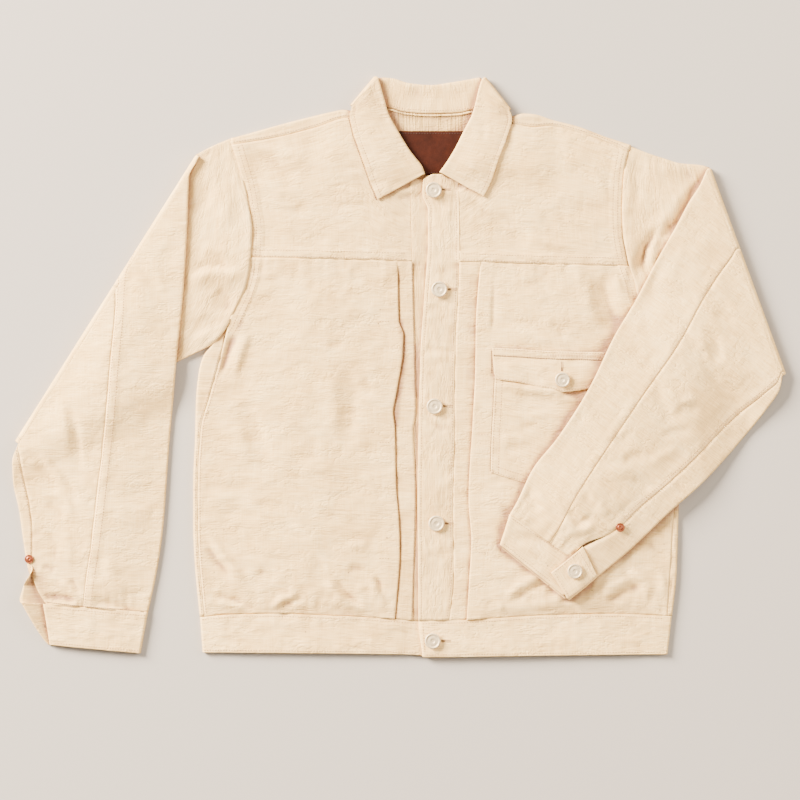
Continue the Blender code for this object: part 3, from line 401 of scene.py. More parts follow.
def spread(points):
    """Distances along the columns and the rows of a grid of points, for the cloth's own coordinates."""
    along = np.linalg.norm(np.diff(points, axis=1), axis=2).mean(axis=0)
    down = np.linalg.norm(np.diff(points, axis=0), axis=2).mean(axis=1)
    u, v = np.concatenate([[0], np.cumsum(along)]), np.concatenate([[0], np.cumsum(down)])
    return np.stack(np.broadcast_arrays(u[None, :], v[:, None]), axis=-1)


def mesh_piece(name, points, faces, finish, spots=None):
    """A mesh from points in jacket millimetres, riding on the part's body."""
    mesh = bpy.data.meshes.new(name)
    placed = (np.asarray(points) + (*SHIFT, 0)) / MM
    mesh.from_pydata(placed.tolist(), [], faces if isinstance(faces, list) else faces.tolist())
    mesh.materials.append(finish)
    mesh.polygons.foreach_set("use_smooth", np.ones(len(mesh.polygons), bool))
    if spots is not None:
        corner = np.zeros(len(mesh.loops), int)
        mesh.loops.foreach_get("vertex_index", corner)
        mesh.uv_layers.new(name="cloth").data.foreach_set("uv", spots[corner].ravel())
    made = link(name, mesh)
    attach(made, "root")
    return made


def cloth(name, upper, lower, finish=None, spots=None, turn=0.0):
    """A wall between two grids of points, closed round its rim."""
    upper, lower = np.asarray(upper, float), np.asarray(lower, float)
    rows, columns = upper.shape[:2]
    index = np.arange(rows * columns).reshape(rows, columns)
    a, b, c, d = index[:-1, :-1], index[:-1, 1:], index[1:, 1:], index[1:, :-1]
    top = np.stack([a, b, c, d], axis=-1).reshape(-1, 4)
    under = np.stack([a, d, c, b], axis=-1).reshape(-1, 4) + rows * columns
    ring = np.concatenate([index[0, :-1], index[:-1, -1], index[-1, :0:-1], index[:0:-1, 0]])
    next_ring = np.roll(ring, -1)
    rim = np.stack([next_ring, ring, ring + rows * columns, next_ring + rows * columns], axis=1)
    faces = np.concatenate([top, under, rim])
    points = np.concatenate([upper.reshape(-1, 3), lower.reshape(-1, 3)])
    corners = points[faces]
    volume = sum((corners[:, 0] * np.cross(corners[:, k], corners[:, k + 1])).sum() for k in (1, 2))
    if volume < 0:
        faces = faces[:, ::-1]
    if spots is None:
        spots = spread(upper)
    spots = spots.reshape(-1, 2)
    angle = math.radians(turn)
    spots = spots @ np.array([[math.cos(angle), math.sin(angle)], [-math.sin(angle), math.cos(angle)]])
    spots = np.concatenate([spots, spots]) + sum(map(ord, name))
    made = mesh_piece(name, points, faces, finish or denim, spots)
    placed_points[name] = points
    layers[name] = BVHTree.FromPolygons(points.tolist(), faces.tolist())
    return made


def side_shape(right):
    """The pleat line, the outer seam and the two heights of one front."""
    edge = [(y, x) for y, x in ARMHOLE[right] if 342 < y < 440]
    if right:
        return PLEAT_RIGHT, SIDE_SEAM_RIGHT + edge, PLACKET_RIGHT_TOP + 2.2
    return PLEAT_LEFT, SIDE_SEAM_LEFT + edge, PLACKET_LEFT_TOP + 2.0


def front_y(right, v, x):
    """Height on the jacket of a front's row, which starts at the chest seam and ends at the waistband."""
    high = line(YOKE_SEAM, x) - SEAM / 2
    low = line(WAIST_TOP[right], x) + SEAM
    return high + (low - high) * v


def back_seam(x):
    """Height on the jacket of the seam between the back panel and the back yoke."""
    return 423 - 9 * (x - BACK_SEAM_START) / BACK_SEAM_LONG


PLACKET_RIGHT_TOP = 4.4
PLACKET_LEFT_TOP = 6.85
PLEAT_RIGHT = [(39, -41), (63, -39), (109, -36), (123, -36), (146, -37), (186, -40), (242, -41), (259, -43),
               (277, -40), (320, -33), (341, -32), (357, -37), (417, -38)]
PLEAT_LEFT = [(39, 35), (84, 38), (123, 40), (166, 37), (242, 41), (298, 44), (357, 45), (417, 49.5)]
EDGE_FLAT, EDGE_TURN, BACK_FLAT = 7, 7, 90
BACK_CREASES = crinkles(41, 90, (-235, 60, 235, 540), 0, 46, 6, 0.25)
faces = [[], []]
for v in np.linspace(0, 1, 96):
    ends, levels = [], []
    for right in (True, False):
        sign = -1 if right else 1
        armhole, edge = (ARMHOLE_RIGHT, SIDE_RIGHT) if right else (ARMHOLE_LEFT, SIDE_LEFT)
        y = front_y(right, v, sign * SIDE_X)
        side = smooth((345 - y) / 14)
        radius = TURNED + (SIDE_TALL / 2 - CLOTH / 2 - TURNED) * side
        at_arm = abs(line(armhole, y)) - SEAM - TURNED - CLOTH / 2
        at_side = abs(line(edge, y)) - SIDE_TALL / 2
        out = at_arm + (at_side - at_arm) * side
        inward = at_arm - 1.5 + (abs(line(side_shape(right)[1], y)) + SEAM - at_arm + 1.5) * side
        out = max(out, inward + 0.6)
        top = CLOTH / 2 + 2 * radius
        flat = joined(np.linspace(inward, out, EDGE_FLAT), top)
        flat[:, 1] += side * 0.5 * np.sin(y / 3.1 + np.sin(y / 7.7) * 2) * np.array([0, 0.3, 0.8, 1, 0.8, 0.4, 0])
        near = np.vstack([flat, arc((out, CLOTH / 2 + radius), radius, 90, -180, EDGE_TURN),
                          [[out - 5, CLOTH / 2]]])
        near[:, 0] *= sign
        ends.append(near)
        levels.append(y)
    flat = np.linspace(ends[0][-1, 0], ends[1][-1, 0], BACK_FLAT + 2)[1:-1]
    path = np.vstack([ends[0], joined(flat, CLOTH / 2), ends[1][::-1]])
    share = np.clip((path[:, 0] - BACK_SEAM_START) / BACK_SEAM_LONG, 0, 1)
    for face, side in zip(faces, ribbon(path, CLOTH)):
        face.append(across(levels[0] + (levels[1] - levels[0]) * share, side))
upper, lower = np.array(faces[0]), np.array(faces[1])
middle = slice(EDGE_FLAT + EDGE_TURN + 1, -EDGE_FLAT - EDGE_TURN - 1)
rumple = creased(BACK_CREASES, upper[:, middle, 0], upper[:, middle, 1])
for face in (upper, lower):
    face[:, middle, 2] += rumple.clip(0, 1) * 0.6
back_panel = cloth("cloth_back", upper, lower)
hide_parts("back_panel")


# --- the back yoke: lies under the neck and wraps over each shoulder to a narrow strip on the front.
# Its face inside the neck shows a ribbed weave; it is one layer, felled to the front yokes and the collar.
COLLAR_LIFT = 2.45
RIBBED_HALF, RIBBED_FROM = 78, 480
SHOULDER = [(-217, 548.5), (-149, 567.5), (-109, 577), (-95, 579.5), (-84, 578), (84, 573), (95, 575.5),
            (105, 575), (126, 569), (153, 562), (180, 552), (212, 540)]
STRIP_SEAM = [(-215, 542), (-163, 551), (-125, 561), (-92, 571), (-84, 571.5), (-78, 567), (-71, 556),
              (-57, 536.5), (-42, 521), (-26, 509)]
STRIP_SEAM_LEFT = [(26, 508), (38, 519), (50, 536), (62, 553), (72, 562), (80, 564.5), (107, 561), (123, 562.5),
                   (153, 556), (194, 541), (210, 532)]
BACK_NECK = [(-80, 576), (-74, 578), (-62, 581), (-49, 581.5), (-31, 577), (-4, 575), (25, 576), (43, 579),
             (56, 579), (68, 575), (80, 571)]
STRIP_EDGE_RIGHT = [(39, -22), (109, -20), (166, -18), (242, -21), (259, -18), (341, -20), (417, -22), (512, -24)]
STITCH_EDGE_LEFT = [(37, 16.5), (84, 21), (166, 20.5), (242, 22.5), (277, 22), (341, 23.5), (417, 27), (511, 26)]
STRIP_EDGE = {True: STRIP_EDGE_RIGHT, False: STITCH_EDGE_LEFT}


def lift(x, y):
    """How far the layers near the neck are raised by the fall of the collar under the back yoke."""
    return COLLAR_LIFT * smooth((132 - np.abs(x)) / 28) * smooth((y - 496) / 26)


def armhole_x(y, u):
    """x at the fraction u from the right armhole to the left one."""
    y = np.minimum(y, 545)
    right, left = line(ARMHOLE_RIGHT, y) + SEAM, line(ARMHOLE_LEFT, y) - SEAM
    return right + (left - right) * u


def yoke_grid(right, columns, rows):
    """x and y of a chest yoke: rows from the chest seam up to the shoulder strip and the neck."""
    fractions = np.linspace(0, 1, columns)
    rise = np.linspace(0, 1, rows)[:, None]
    armhole, inner = ARMHOLE[right], STRIP_EDGE[right]
    top_line = STRIP_SEAM if right else STRIP_SEAM_LEFT
    sign = 1 if right else -1
    far, near = line(armhole, 500) + sign * SEAM, line(inner, 500) - sign * SEAM
    along = far + (near - far) * fractions
    low = line(YOKE_SEAM, along) - 0.5
    for _ in range(4):
        y = low + (line(top_line, along) - SEAM / 2 - low) * rise
        far, near = line(armhole, y) + sign * SEAM, line(inner, y) - sign * SEAM
        along = (far + (near - far) * fractions)[-1]
    return far + (near - far) * fractions, y


stations = []
for right in (True, False):
    x, y = yoke_grid(right, 84, 9)
    shoulder = np.abs(x[-1]) > 83
    ends = list(zip(x[-1][shoulder], y[-1][shoulder] + SEAM))
    stations.append(ends if right else ends[::-1])
neck = [(x, None) for x in np.linspace(-80, 78, 64)]
faces = [[], []]
for x, strip in stations[0] + neck + stations[1]:
    raised = float(lift(x, 560))
    at = 555 if strip is None else strip
    u = (x - armhole_x(at, 0)) / (armhole_x(at, 1) - armhole_x(at, 0))
    low = back_seam(armhole_x(423, u)) + SEAM / 2
    if strip is None:
        radius = TURNED
        crest = line(BACK_NECK, x) - 0.4 - radius - CLOTH / 2
        strip = crest - 0.6
        hump = 0.0
    else:
        radius = SIDE_TALL / 2 - CLOTH / 2
        crest = line(SHOULDER, x) - SIDE_TALL / 2
        strip = min(strip, crest - 0.8)
        hump = 0.6
    top = CLOTH / 2 + raised + 2 * radius
    floor_y = low + (crest - low) * np.linspace(0, 1, 60)
    tab = crest + (strip - crest) * np.linspace(0.1, 1, 8)
    ridge = hump * bell(tab - strip - 3.0, 2.2)
    path = np.vstack([joined(floor_y, CLOTH / 2 + lift(x, floor_y)),
                      arc((crest, CLOTH / 2 + raised + radius), radius, -90, 180, 7),
                      joined(tab, top + ridge)])
    for face, edge in zip(faces, ribbon(path, CLOTH)):
        beyond = 1.2 * ((u > 0.999) - (u < 0.001) * 1.0)
        face.append(np.stack([armhole_x(edge[:, 0], u) + beyond, edge[:, 0], edge[:, 1]], axis=1))
upper, lower = np.array(faces[0]), np.array(faces[1])
back_yoke = cloth("cloth_back_yoke", upper, lower, turn=90)
back_yoke.data.materials.append(denim_ribbed)
for flat in back_yoke.data.polygons:
    x, y = flat.center[0] * MM - SHIFT[0], flat.center[1] * MM - SHIFT[1]
    if abs(x) < RIBBED_HALF and y > RIBBED_FROM and flat.normal.z > 0:
        flat.material_index = 1
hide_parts("back_yoke")


# --- stitching: every seam is sewn with undyed cotton thread, about nine stitches to 25 mm.
# A row is laid on the cloth below it, so each stitch follows the folds that it crosses.
STITCH_LONG = 2.15
STITCH_PITCH = 2.9
STITCH_STEP = 1.6
DROP_FROM = 60.0
STITCH_FORM = ((-0.18, 0.5), (0.12, 1.0), (-0.18, 0.5))
THREAD_RADIUS = 0.42
THREAD_SIDES = 5


def clouded_finish(name, scale, detail, dark, light, roughness, rough=0.5):
    """A material whose colour clouds between two tones; dark and light are (place, colour)."""
    made, tree, shader = plain_finish(name, light[1], roughness)
    where = node(tree, "TexCoord").outputs["Object"]
    cloud = node(tree, "TexNoise", Vector=where, Scale=scale, Detail=detail, Roughness=rough).outputs["Fac"]
    tree.links.new(ramp(tree, cloud, dark, light), shader.inputs["Base Color"])
    return made, tree, shader, where, cloud


# The thread is drawn darker than the undyed cloth: its own tone, with the shade of the needle holes painted into it.
thread, tree, shader, where, twist = clouded_finish("cotton_thread", 900.0, 2.0, (0, (0.42, 0.25, 0.12)),
                                                    (1, (0.60, 0.39, 0.20)), 0.7)
plied = node(tree, "Bump", Height=twist, Strength=0.5, Distance=0.0003)
tree.links.new(plied.outputs[0], shader.inputs["Normal"])


def drop(names, x, y):
    """Height of the topmost of these layers at a point, or None."""
    best = None
    for name in names:
        spot = layers[name].ray_cast(Vector((x, y, DROP_FROM)), Vector((0, 0, -1)))[0]
        if spot is not None and (best is None or spot.z > best):
            best = spot.z
    return best


def lengths(points):
    """Distance along a line at each of its points."""
    return np.concatenate([[0], np.cumsum(np.linalg.norm(np.diff(points, axis=0), axis=1))])


def even_steps(points, pitch):
    """Points a pitch apart along a line in plan."""
    points = np.asarray(points, float)
    chord = lengths(points)
    at = np.arange(0, chord[-1], pitch)
    return np.stack([np.interp(at, chord, points[:, k]) for k in range(2)], axis=1)


def sew(name, names, rows, radius=THREAD_RADIUS, slot="denim", finish=None, pitch=STITCH_PITCH, long=STITCH_LONG):
    """Rows of stitches on the layers named, each a short bent capsule of thread; a dark finish makes them painted
    shade.
    """
    points, faces = [], []
    sides = THREAD_SIDES
    angles = np.radians(np.arange(sides) * 360 / sides + 18)
    for row in rows:
        spots = even_steps(row, pitch)
        for a, b in zip(spots, spots[1:]):
            run = (b - a) / max(np.linalg.norm(b - a), 1e-6)
            ends = [a, a + run * long / 2, a + run * long]
            heights = [drop(names, *spot) for spot in ends]
            if None in heights or max(heights) - min(heights) > STITCH_STEP:
                continue
            base = len(points)
            side = np.array([-run[1], run[0], 0])
            for spot, z, (sunk, thick) in zip(ends, heights, STITCH_FORM):
                centre = np.array([spot[0], spot[1], z + sunk])
                points += [centre + radius * thick * (side * math.cos(angle) + np.array([0, 0, math.sin(angle)]))
                           for angle in angles]
            for k in range(base, base + 2 * sides, sides):
                faces += [[k + n, k + (n + 1) % sides, k + (n + 1) % sides + sides, k + n + sides]
                          for n in range(sides)]
            faces += [[base + n for n in range(sides - 1, -1, -1)], [base + 2 * sides + n for n in range(sides)]]
    made = mesh_piece(name, points, faces, finish or thread)
    return made


def beside(points, off):
    """A line in plan, moved sideways by off: to the left of its run when off is positive."""
    points = np.asarray(points, float)
    run = np.gradient(points, axis=0)
    run /= np.linalg.norm(run, axis=1, keepdims=True)
    return points + off * joined(-run[:, 1], run[:, 0])


def rows_beside(*seams):
    """Rows of stitches beside seams: each seam comes with how far off its rows lie."""
    return [beside(seam, off) for seam, *offs in seams for off in offs]


def up_line(table, low, high, count=90):
    """Points of an edge given as x by y."""
    y = np.linspace(low, high, count)
    return joined(line(table, y), y)


def cross_line(table, low, high, count=90):
    """Points of a seam given as y by x."""
    x = np.linspace(low, high, count)
    return joined(x, line(table, x))


# --- the chest yokes: one layer each, between the chest seam, the armhole, the shoulder strip and the front strip.
# Their felled edges are thicker, so they stand up as a band along the chest seam and the armhole.
def strokes(*rows):
    """Creases from rows of numbers: half width, height, then x and y of each point."""
    return [(wide, tall, list(zip(spots[::2], spots[1::2]))) for wide, tall, *spots in rows]


def read(lattice, row, column):
    """Values between the cells of a lattice."""
    row, column = np.clip(row, 0, lattice.shape[0] - 1.01), np.clip(column, 0, lattice.shape[1] - 1.01)
    i, j = row.astype(int), column.astype(int)
    fi, fj = row - i, column - j
    low = lattice[i, j] * (1 - fj) + lattice[i, j + 1] * fj
    return low * (1 - fi) + (lattice[i + 1, j] * (1 - fj) + lattice[i + 1, j + 1] * fj) * fi


def relief(creases, low_x, low_y, high_x, high_y):
    """A function that gives the height of a set of creases, from a lattice of millimetres."""
    lattice = np.zeros((int(high_y - low_y) + 1, int(high_x - low_x) + 1))
    for crease in creases:
        spots = np.asarray(crease[2], float)
        reach = 4 * crease[0]
        i = np.clip([spots[:, 0].min() - reach - low_x, spots[:, 0].max() + reach - low_x], 0, lattice.shape[1])
        j = np.clip([spots[:, 1].min() - reach - low_y, spots[:, 1].max() + reach - low_y], 0, lattice.shape[0])
        i, j = i.astype(int), j.astype(int)
        if i[0] < i[1] and j[0] < j[1]:
            x, y = np.meshgrid(np.arange(*i) + low_x, np.arange(*j) + low_y)
            lattice[j[0]:j[1], i[0]:i[1]] += creased([crease], x, y)

    return lambda x, y: read(lattice, *np.broadcast_arrays(np.asarray(y, float) - low_y, np.asarray(x, float) - low_x))


YOKE_CREASES = strokes(
    (8, -1.3, -198, 533, -174, 530, -159, 516, -140, 504), (9, 0.8, -186, 543, -162, 534, -135, 522),
    (5, 0.5, -186, 504, -165, 494, -135, 487), (5, -0.4, -180, 476, -156, 472, -128, 478),
    (6, -1.2, 27, 485, 45, 478, 62, 465, 78, 451, 93, 439, 111, 430), (5, 0.6, 39, 489, 61, 477, 83, 461),
    (4, -0.7, 11, 502, 22, 498, 34, 500), (4, 0.5, 8, 492, 23, 494, 42, 486), (5, -0.6, 114, 469, 123, 461, 134, 453),
    (4, -0.5, -110, 515, -92, 517, -74, 518), (4, 0.45, -104, 494, -87, 495, -70, 492),
    (5, -0.5, -110, 481, -87, 479, -59, 477), (3.5, -0.5, -40, 486, -26, 488, -11, 492),
    (3.5, 0.5, -43, 492, -26, 494, -17, 499), (6, -0.6, 131, 476, 142, 456, 170, 448),
    (5, 0.6, 92, 448, 124, 439, 161, 430), (6, -0.5, 150, 482, 170, 474, 187, 476),
    (8, -0.8, 66, 476, 88, 456, 105, 439), (5, 0.4, 166, 523, 179, 497, 187, 478))


def bolder(creases, times):
    """The same creases, sharper and taller."""
    return [(wide * 0.68, tall * times * 0.9, spots) for wide, tall, spots in creases]


def welt(away, wide, tall=1.0):
    """Extra height of a felled band beside a seam, with the dips of its two rows."""
    band = tall * (1 - smooth((away - wide) / 2.2))
    return band - 0.35 * bell(away - 2.2, 1.0) - 0.45 * bell(away - wide + 1.2, 1.1)


def puckers(x, y, away, seed, tall=0.4, size=5.5):
    """Small bumps where sewing draws the cloth in, dying away from the seam."""
    return tall * unevenness(x, y, size, seed) * bell(away, 9.0)


def yoke_top(x, y):
    """Top face of the chest yokes."""
    t = (207 - np.abs(x)) / 180
    right = bend_through(t, [-0.1, 0, 0.3, 0.6, 0.85, 1.0], [0, 0, 1.6, 2.3, 2.0, 0.9])
    left = bend_through(t, [-0.1, 0, 0.3, 0.6, 0.85, 1.0], [0, 0, 2.0, 3.2, 3.7, 3.0])
    below = line(SHOULDER, np.clip(x, -216, 211)) - y
    rise = np.where(np.asarray(x) < 0, right, left) * smooth((below + 6) / 60)
    drag = 1.1 * bell(x + 0.55 * y - 92, 17.0) * smooth((-100 - x) / 40) * smooth((x + 190) / 40)
    return SIDE_TALL + rise + drag + lift(x, y)


yoke_creases = relief(
    bolder(YOKE_CREASES, 2.3) + crinkles(7, 110, (-205, 425, 215, 560), 0, 30, 2.5, 0.45), -230, 400, 230, 590)


def yoke_surface(x, y):
    x = np.asarray(x, float)
    arm = np.where(x < 0, x - line(ARMHOLE_RIGHT, y), line(ARMHOLE_LEFT, y) - x)
    chest = y - line(YOKE_SEAM, x)
    shoulder = np.where(x < 0, line(STRIP_SEAM, x), line(STRIP_SEAM_LEFT, x)) - y
    inside = smooth(arm / 14) * smooth(shoulder / 10)
    height = yoke_top(x, y) + yoke_creases(x, y) * inside
    height = height + np.maximum(welt(arm, 10.5, 0.9), welt(chest, 9.2, 1.0)) - 0.35 * (1 - smooth(arm / 1.5))
    height = height + puckers(x, y, chest, 3) + puckers(x, y, arm, 4, 0.35) + puckers(x, y, shoulder, 5, 0.35)
    return height + 0.22 * unevenness(x, y, 9, 6) + 0.3 * unevenness(x, y, 22, 8)


for right, side in SIDES.items():
    x, y = yoke_grid(right, 96, 62)
    arm = np.abs(x - line(ARMHOLE[right], y))
    x = x + (-1.4 if right else 1.4) * (1 - smooth(arm / 4))
    top = yoke_surface(x, y)
    top[0] -= 0.35
    yoke = cloth(f"cloth_yoke_{side}", grid(x, y, top), grid(x, y, top - CLOTH))
    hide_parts(f"front_yoke_{side}")
sew("stitches_yokes", ["cloth_yoke_right", "cloth_yoke_left"], rows_beside(
    (cross_line(YOKE_SEAM, -192, -27), 1.6, 8.0), (cross_line(YOKE_SEAM, 30, 203), 1.6, 8.0),
    (up_line(ARMHOLE_RIGHT, 425, 543), -4.2, -9.0), (up_line(ARMHOLE_LEFT, 420, 535), 4.2, 9.0)))
sew("stitches_shoulders", ["cloth_back_yoke", "cloth_yoke_right", "cloth_yoke_left"], rows_beside(
    (cross_line(STRIP_SEAM, -212, -88), 2.6), (cross_line(STRIP_SEAM_LEFT, 84, 206), 2.6)))


# --- the two fronts: from the side seam each panel runs to its pleat, folds under, back and out to the front strip.
# They are drawn in by the waistband and the chest seam, so they stand up between the two in soft folds.
PLEAT_DEPTH = 11.0
PLEAT_STEP = 1.55
FRONT_CREASES = strokes(
    (6, -1.6, -209, 344, -217, 326, -223, 310, -231, 295), (6, 1.3, -196, 346, -205, 319, -213, 295),
    (9, -1.1, -205, 270, -192, 255, -180, 221, -176, 203), (9, 0.9, -213, 246, -202, 226, -193, 203),
    (10, -0.9, -95, 310, -84, 281, -87, 252, -91, 221), (9, 0.8, -113, 306, -104, 272, -106, 230),
    (4, -0.6, -113, 330, -95, 333), (5, -0.6, -75, 297, -64, 277), (5, -0.6, -245, 180, -220, 181, -196, 176),
    (5, 0.5, -242, 172, -211, 168), (5, -0.6, -234, 152, -209, 153, -184, 149),
    (5, -0.55, -191, 161, -173, 163, -151, 159), (5, -0.7, -164, 140, -144, 129, -126, 110, -113, 86),
    (6, 0.7, -153, 144, -131, 126, -113, 107), (5, 1.4, -240, 130, -225, 110, -207, 87, -196, 73),
    (5, -1.2, -242, 121, -229, 101, -213, 81), (4, -1.1, -238, 66, -218, 63, -196, 53, -182, 48),
    (4, 1.2, -234, 58, -213, 55, -198, 49), (5, -0.9, -187, 92, -167, 81), (5, 1.3, -173, 49, -164, 59, -144, 68),
    (4, -1.0, -169, 47, -158, 56, -138, 63), (5, 1.5, -115, 83, -100, 63, -77, 48),
    (4, -1.2, -105, 84, -91, 66, -73, 52), (5, 1.2, -68, 85, -56, 63, -49, 48), (4, -1.0, -62, 87, -52, 67, -46, 52),
    (4, -0.6, -95, 126, -75, 127, -53, 124), (4, 0.5, -93, 118, -68, 120), (4, -0.6, -91, 94, -73, 94),
    (5, 0.5, -144, 208, -122, 199, -104, 201), (5, -0.4, -149, 250, -126, 230, -122, 212),
    (10, -1.8, 179, 403, 186, 368, 197, 343), (8, 1.4, 191, 406, 203, 378, 214, 364),
    (9, 0.9, 161, 406, 164, 375, 175, 343), (6, -0.6, 94, 397, 117, 389, 129, 375),
    (5, -0.6, 124, 357, 134, 347, 143, 336), (5, 0.5, 117, 362, 143, 354), (4, -0.6, 68, 355, 94, 354, 117, 355),
    (4, 0.5, 90, 338, 112, 333), (9, -1.0, 57, 408, 60, 375, 61, 343), (5, 0.6, 80, 343, 105, 341, 129, 333),
    (5, 1.2, 72, 60, 92, 77, 118, 89), (4, -1.0, 80, 57, 100, 70, 124, 81), (5, -0.8, 199, 93, 209, 79, 222, 65),
    (5, 1.1, 207, 95, 220, 83, 234, 70), (5, -0.8, 226, 123, 238, 111, 248, 105), (5, 1.0, 173, 60, 189, 75, 213, 85),
    (4, -0.9, 181, 56, 201, 68, 222, 77), (4, 1.0, 238, 91, 246, 77, 252, 62))


def band_top(x):
    """Top face of the upper half of the waistband, right part then lapping left part."""
    right = bend_through(x, [-260, -246, -150, -60, -40, -20, 30], [0, 0, 1.2, 1.0, 0.6, -0.35, -0.35])
    left = bend_through(x, [-30, 16, 40, 120, 200, 246, 260], [2.05, 2.05, 2.7, 2.0, 1.0, 0, 0])
    return right, left


def front_top(right, x, y):
    """Top face of a front from its pleat to its outer seam."""
    pleat, seam, tall = side_shape(right)
    inner, outer = line(pleat, y), line(seam, y)
    t = np.clip((x - inner) / (outer - inner), 0, 1)
    hem = smooth((y - 36) / 60)
    flat = tall + (SIDE_TALL - tall) * smooth((t - 0.12) / 0.95)
    puff = (0.6 + 1.9 * hem) * np.sin(math.pi * np.clip((t - 0.1) / 0.9, 0, 1)) ** 2
    puff = puff * (1 - 0.45 * smooth((y - 380) / 40))
    pucker = 0.9 * bell(y - 62 - 16 * np.sin(x / 21.0), 9.0) * np.sin(math.pi * t) ** 2
    under_arm = 1.3 * bell(np.abs(x) * 0.8 + 0.6 * y - 392, 14.0) * smooth((t - 0.55) / 0.2)
    under_arm = under_arm * smooth((1 - t) / 0.12) * smooth((y - 240) / 50)
    return flat + puff + pucker + under_arm


front_creases = relief(
    bolder(FRONT_CREASES, 2.3) + crinkles(17, 260, (-248, 50, -45, 418), 0, 30, 2.5, 0.5)
    + crinkles(18, 200, (45, 50, 255, 418), 0, 30, 2.5, 0.5)
    + crinkles(19, 60, (-246, 44, -45, 72), 88, 22, 3.0, 0.8) + crinkles(20, 60, (45, 44, 252, 72), 88, 22, 3.0, 0.8)
    + crinkles(21, 46, (-200, 398, 210, 418), 88, 20, 3.0, 0.6), -262, 30, 268, 430)


def front_surface(right, x, y):
    """Top face of a front with its creases, drawn down to the yoke above it and the waistband below it."""
    pleat, seam, _ = side_shape(right)
    chest, waist = line(YOKE_SEAM, x), line(WAIST_TOP[right], x)
    side, fold = np.abs(line(seam, y) - x), np.abs(x - line(pleat, y))
    height = front_top(right, x, y)
    height = height + front_creases(x, y) * smooth(side / 9 + 0.1) * smooth(fold / 7 + 0.1) * smooth(
        (chest - y) / 8 + 0.2)
    height = height + puckers(x, y, side, 11, 0.3) + puckers(x, y, y - waist, 12, 0.55, 6) + puckers(
        x, y, chest - y, 13, 0.4, 6)
    height = height + 0.9 * (1 - smooth((side - 10) / 2.2)) * smooth((y - 346) / 12)
    height = height + 0.25 * unevenness(x, y, 9, 14) + 0.5 * unevenness(x, y, 26, 15) * smooth(side / 20)
    under_yoke = yoke_surface(x, chest + 0.5) - 0.4
    height = height + (under_yoke - front_top(right, x, chest)) * smooth((y - chest + 40) / 40)
    band = 4.7 + band_top(x)[0 if right else 1] - 1.0
    dip = (1 - smooth((y - waist) / 13)) * smooth((fold - 6) / 22) * smooth(side / 20)
    return height + (band - height) * dip * 0.85


def pleat_path(right, v):
    """Section of a front across its pleat: outer seam, panel, fold, back under, fold, strip."""
    pleat, seam, _ = side_shape(right)
    sign = 1 if right else -1
    y = front_y(right, v, -sign * 40)
    edge = line(pleat, y)
    end = line(STRIP_EDGE[right], front_y(right, v, -sign * 22)) - sign * SEAM
    side_y = front_y(right, v, -sign * SIDE_X)
    outer = line(seam, side_y) + sign * (SEAM - 1.5 * smooth((side_y - 346) / 12))
    turn = edge - sign * (PLEAT_STEP / 2 + CLOTH / 2)
    panel = outer + (turn - outer) * np.linspace(0, 1, 98)
    top = front_surface(right, panel, front_y(right, v, panel)) - CLOTH / 2
    level = top[-1]
    base = side_shape(right)[2] - CLOTH / 2 + 0.25 * unevenness(0, y, 14, 16)
    back = turn - sign * PLEAT_DEPTH
    gap = (level - base) / 2 + PLEAT_STEP
    top = np.maximum(top, level - gap + CLOTH + 0.35 - 0.5 * np.maximum(np.abs(panel - turn) - PLEAT_DEPTH - 2, 0))
    strip = turn + (end - turn) * np.linspace(0, 1, 12)[1:] ** 1.4
    strip_z = base - 2 * PLEAT_STEP + 0.3 * front_creases(strip, y) + 0.15 * unevenness(strip, y, 6, 17)
    seam_y = line(YOKE_SEAM, strip)
    strip_z = strip_z + (1.45 - 0.9 * (not right)) * smooth((np.abs(strip - turn) - 1) / 3.5)
    strip_z = strip_z + (yoke_surface(strip, seam_y + 0.5) - 1.1 - strip_z) * smooth((y - seam_y + 22) / 20)
    return np.vstack([
        joined(panel, top),
        arc((turn, level - gap / 2), gap / 2, 90, -sign * 180, 8),
        joined(np.linspace(turn, back, 5)[1:], level - gap),
        arc((back, level - gap - PLEAT_STEP / 2), PLEAT_STEP / 2, 90, sign * 180, 6),
        joined(np.linspace(back, turn, 5)[1:], np.linspace(level - gap - PLEAT_STEP, base - 2 * PLEAT_STEP, 5)[1:]),
        joined(strip, strip_z),
    ])


for right, side in SIDES.items():
    faces = [[], []]
    for v in np.concatenate([np.linspace(0, 0.03, 6), np.linspace(0.037, 0.96, 132), np.linspace(0.967, 1, 7)]):
        path = pleat_path(right, v)
        for face, edge in zip(faces, ribbon(path, CLOTH)):
            face.append(across(front_y(right, v, path[:, 0]), edge))
    front = cloth(f"cloth_front_{side}", *faces)
    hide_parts(f"front_{side}")
sew("stitches_fronts", ["cloth_front_right", "cloth_front_left", "cloth_back"], rows_beside(
    (up_line(ARMHOLE_RIGHT, 345, 421), -4.2, -9.0), (up_line(ARMHOLE_LEFT, 350, 416), 4.2, 9.0),
    (up_line(SIDE_SEAM_RIGHT, 46, 320), -2.2, 2.4)) + [
    [(-47, y), (-59, y)] for y in (355, 227, 104)] + [
    [(47, y), (60, y)] for y in (362, 235, 110)])


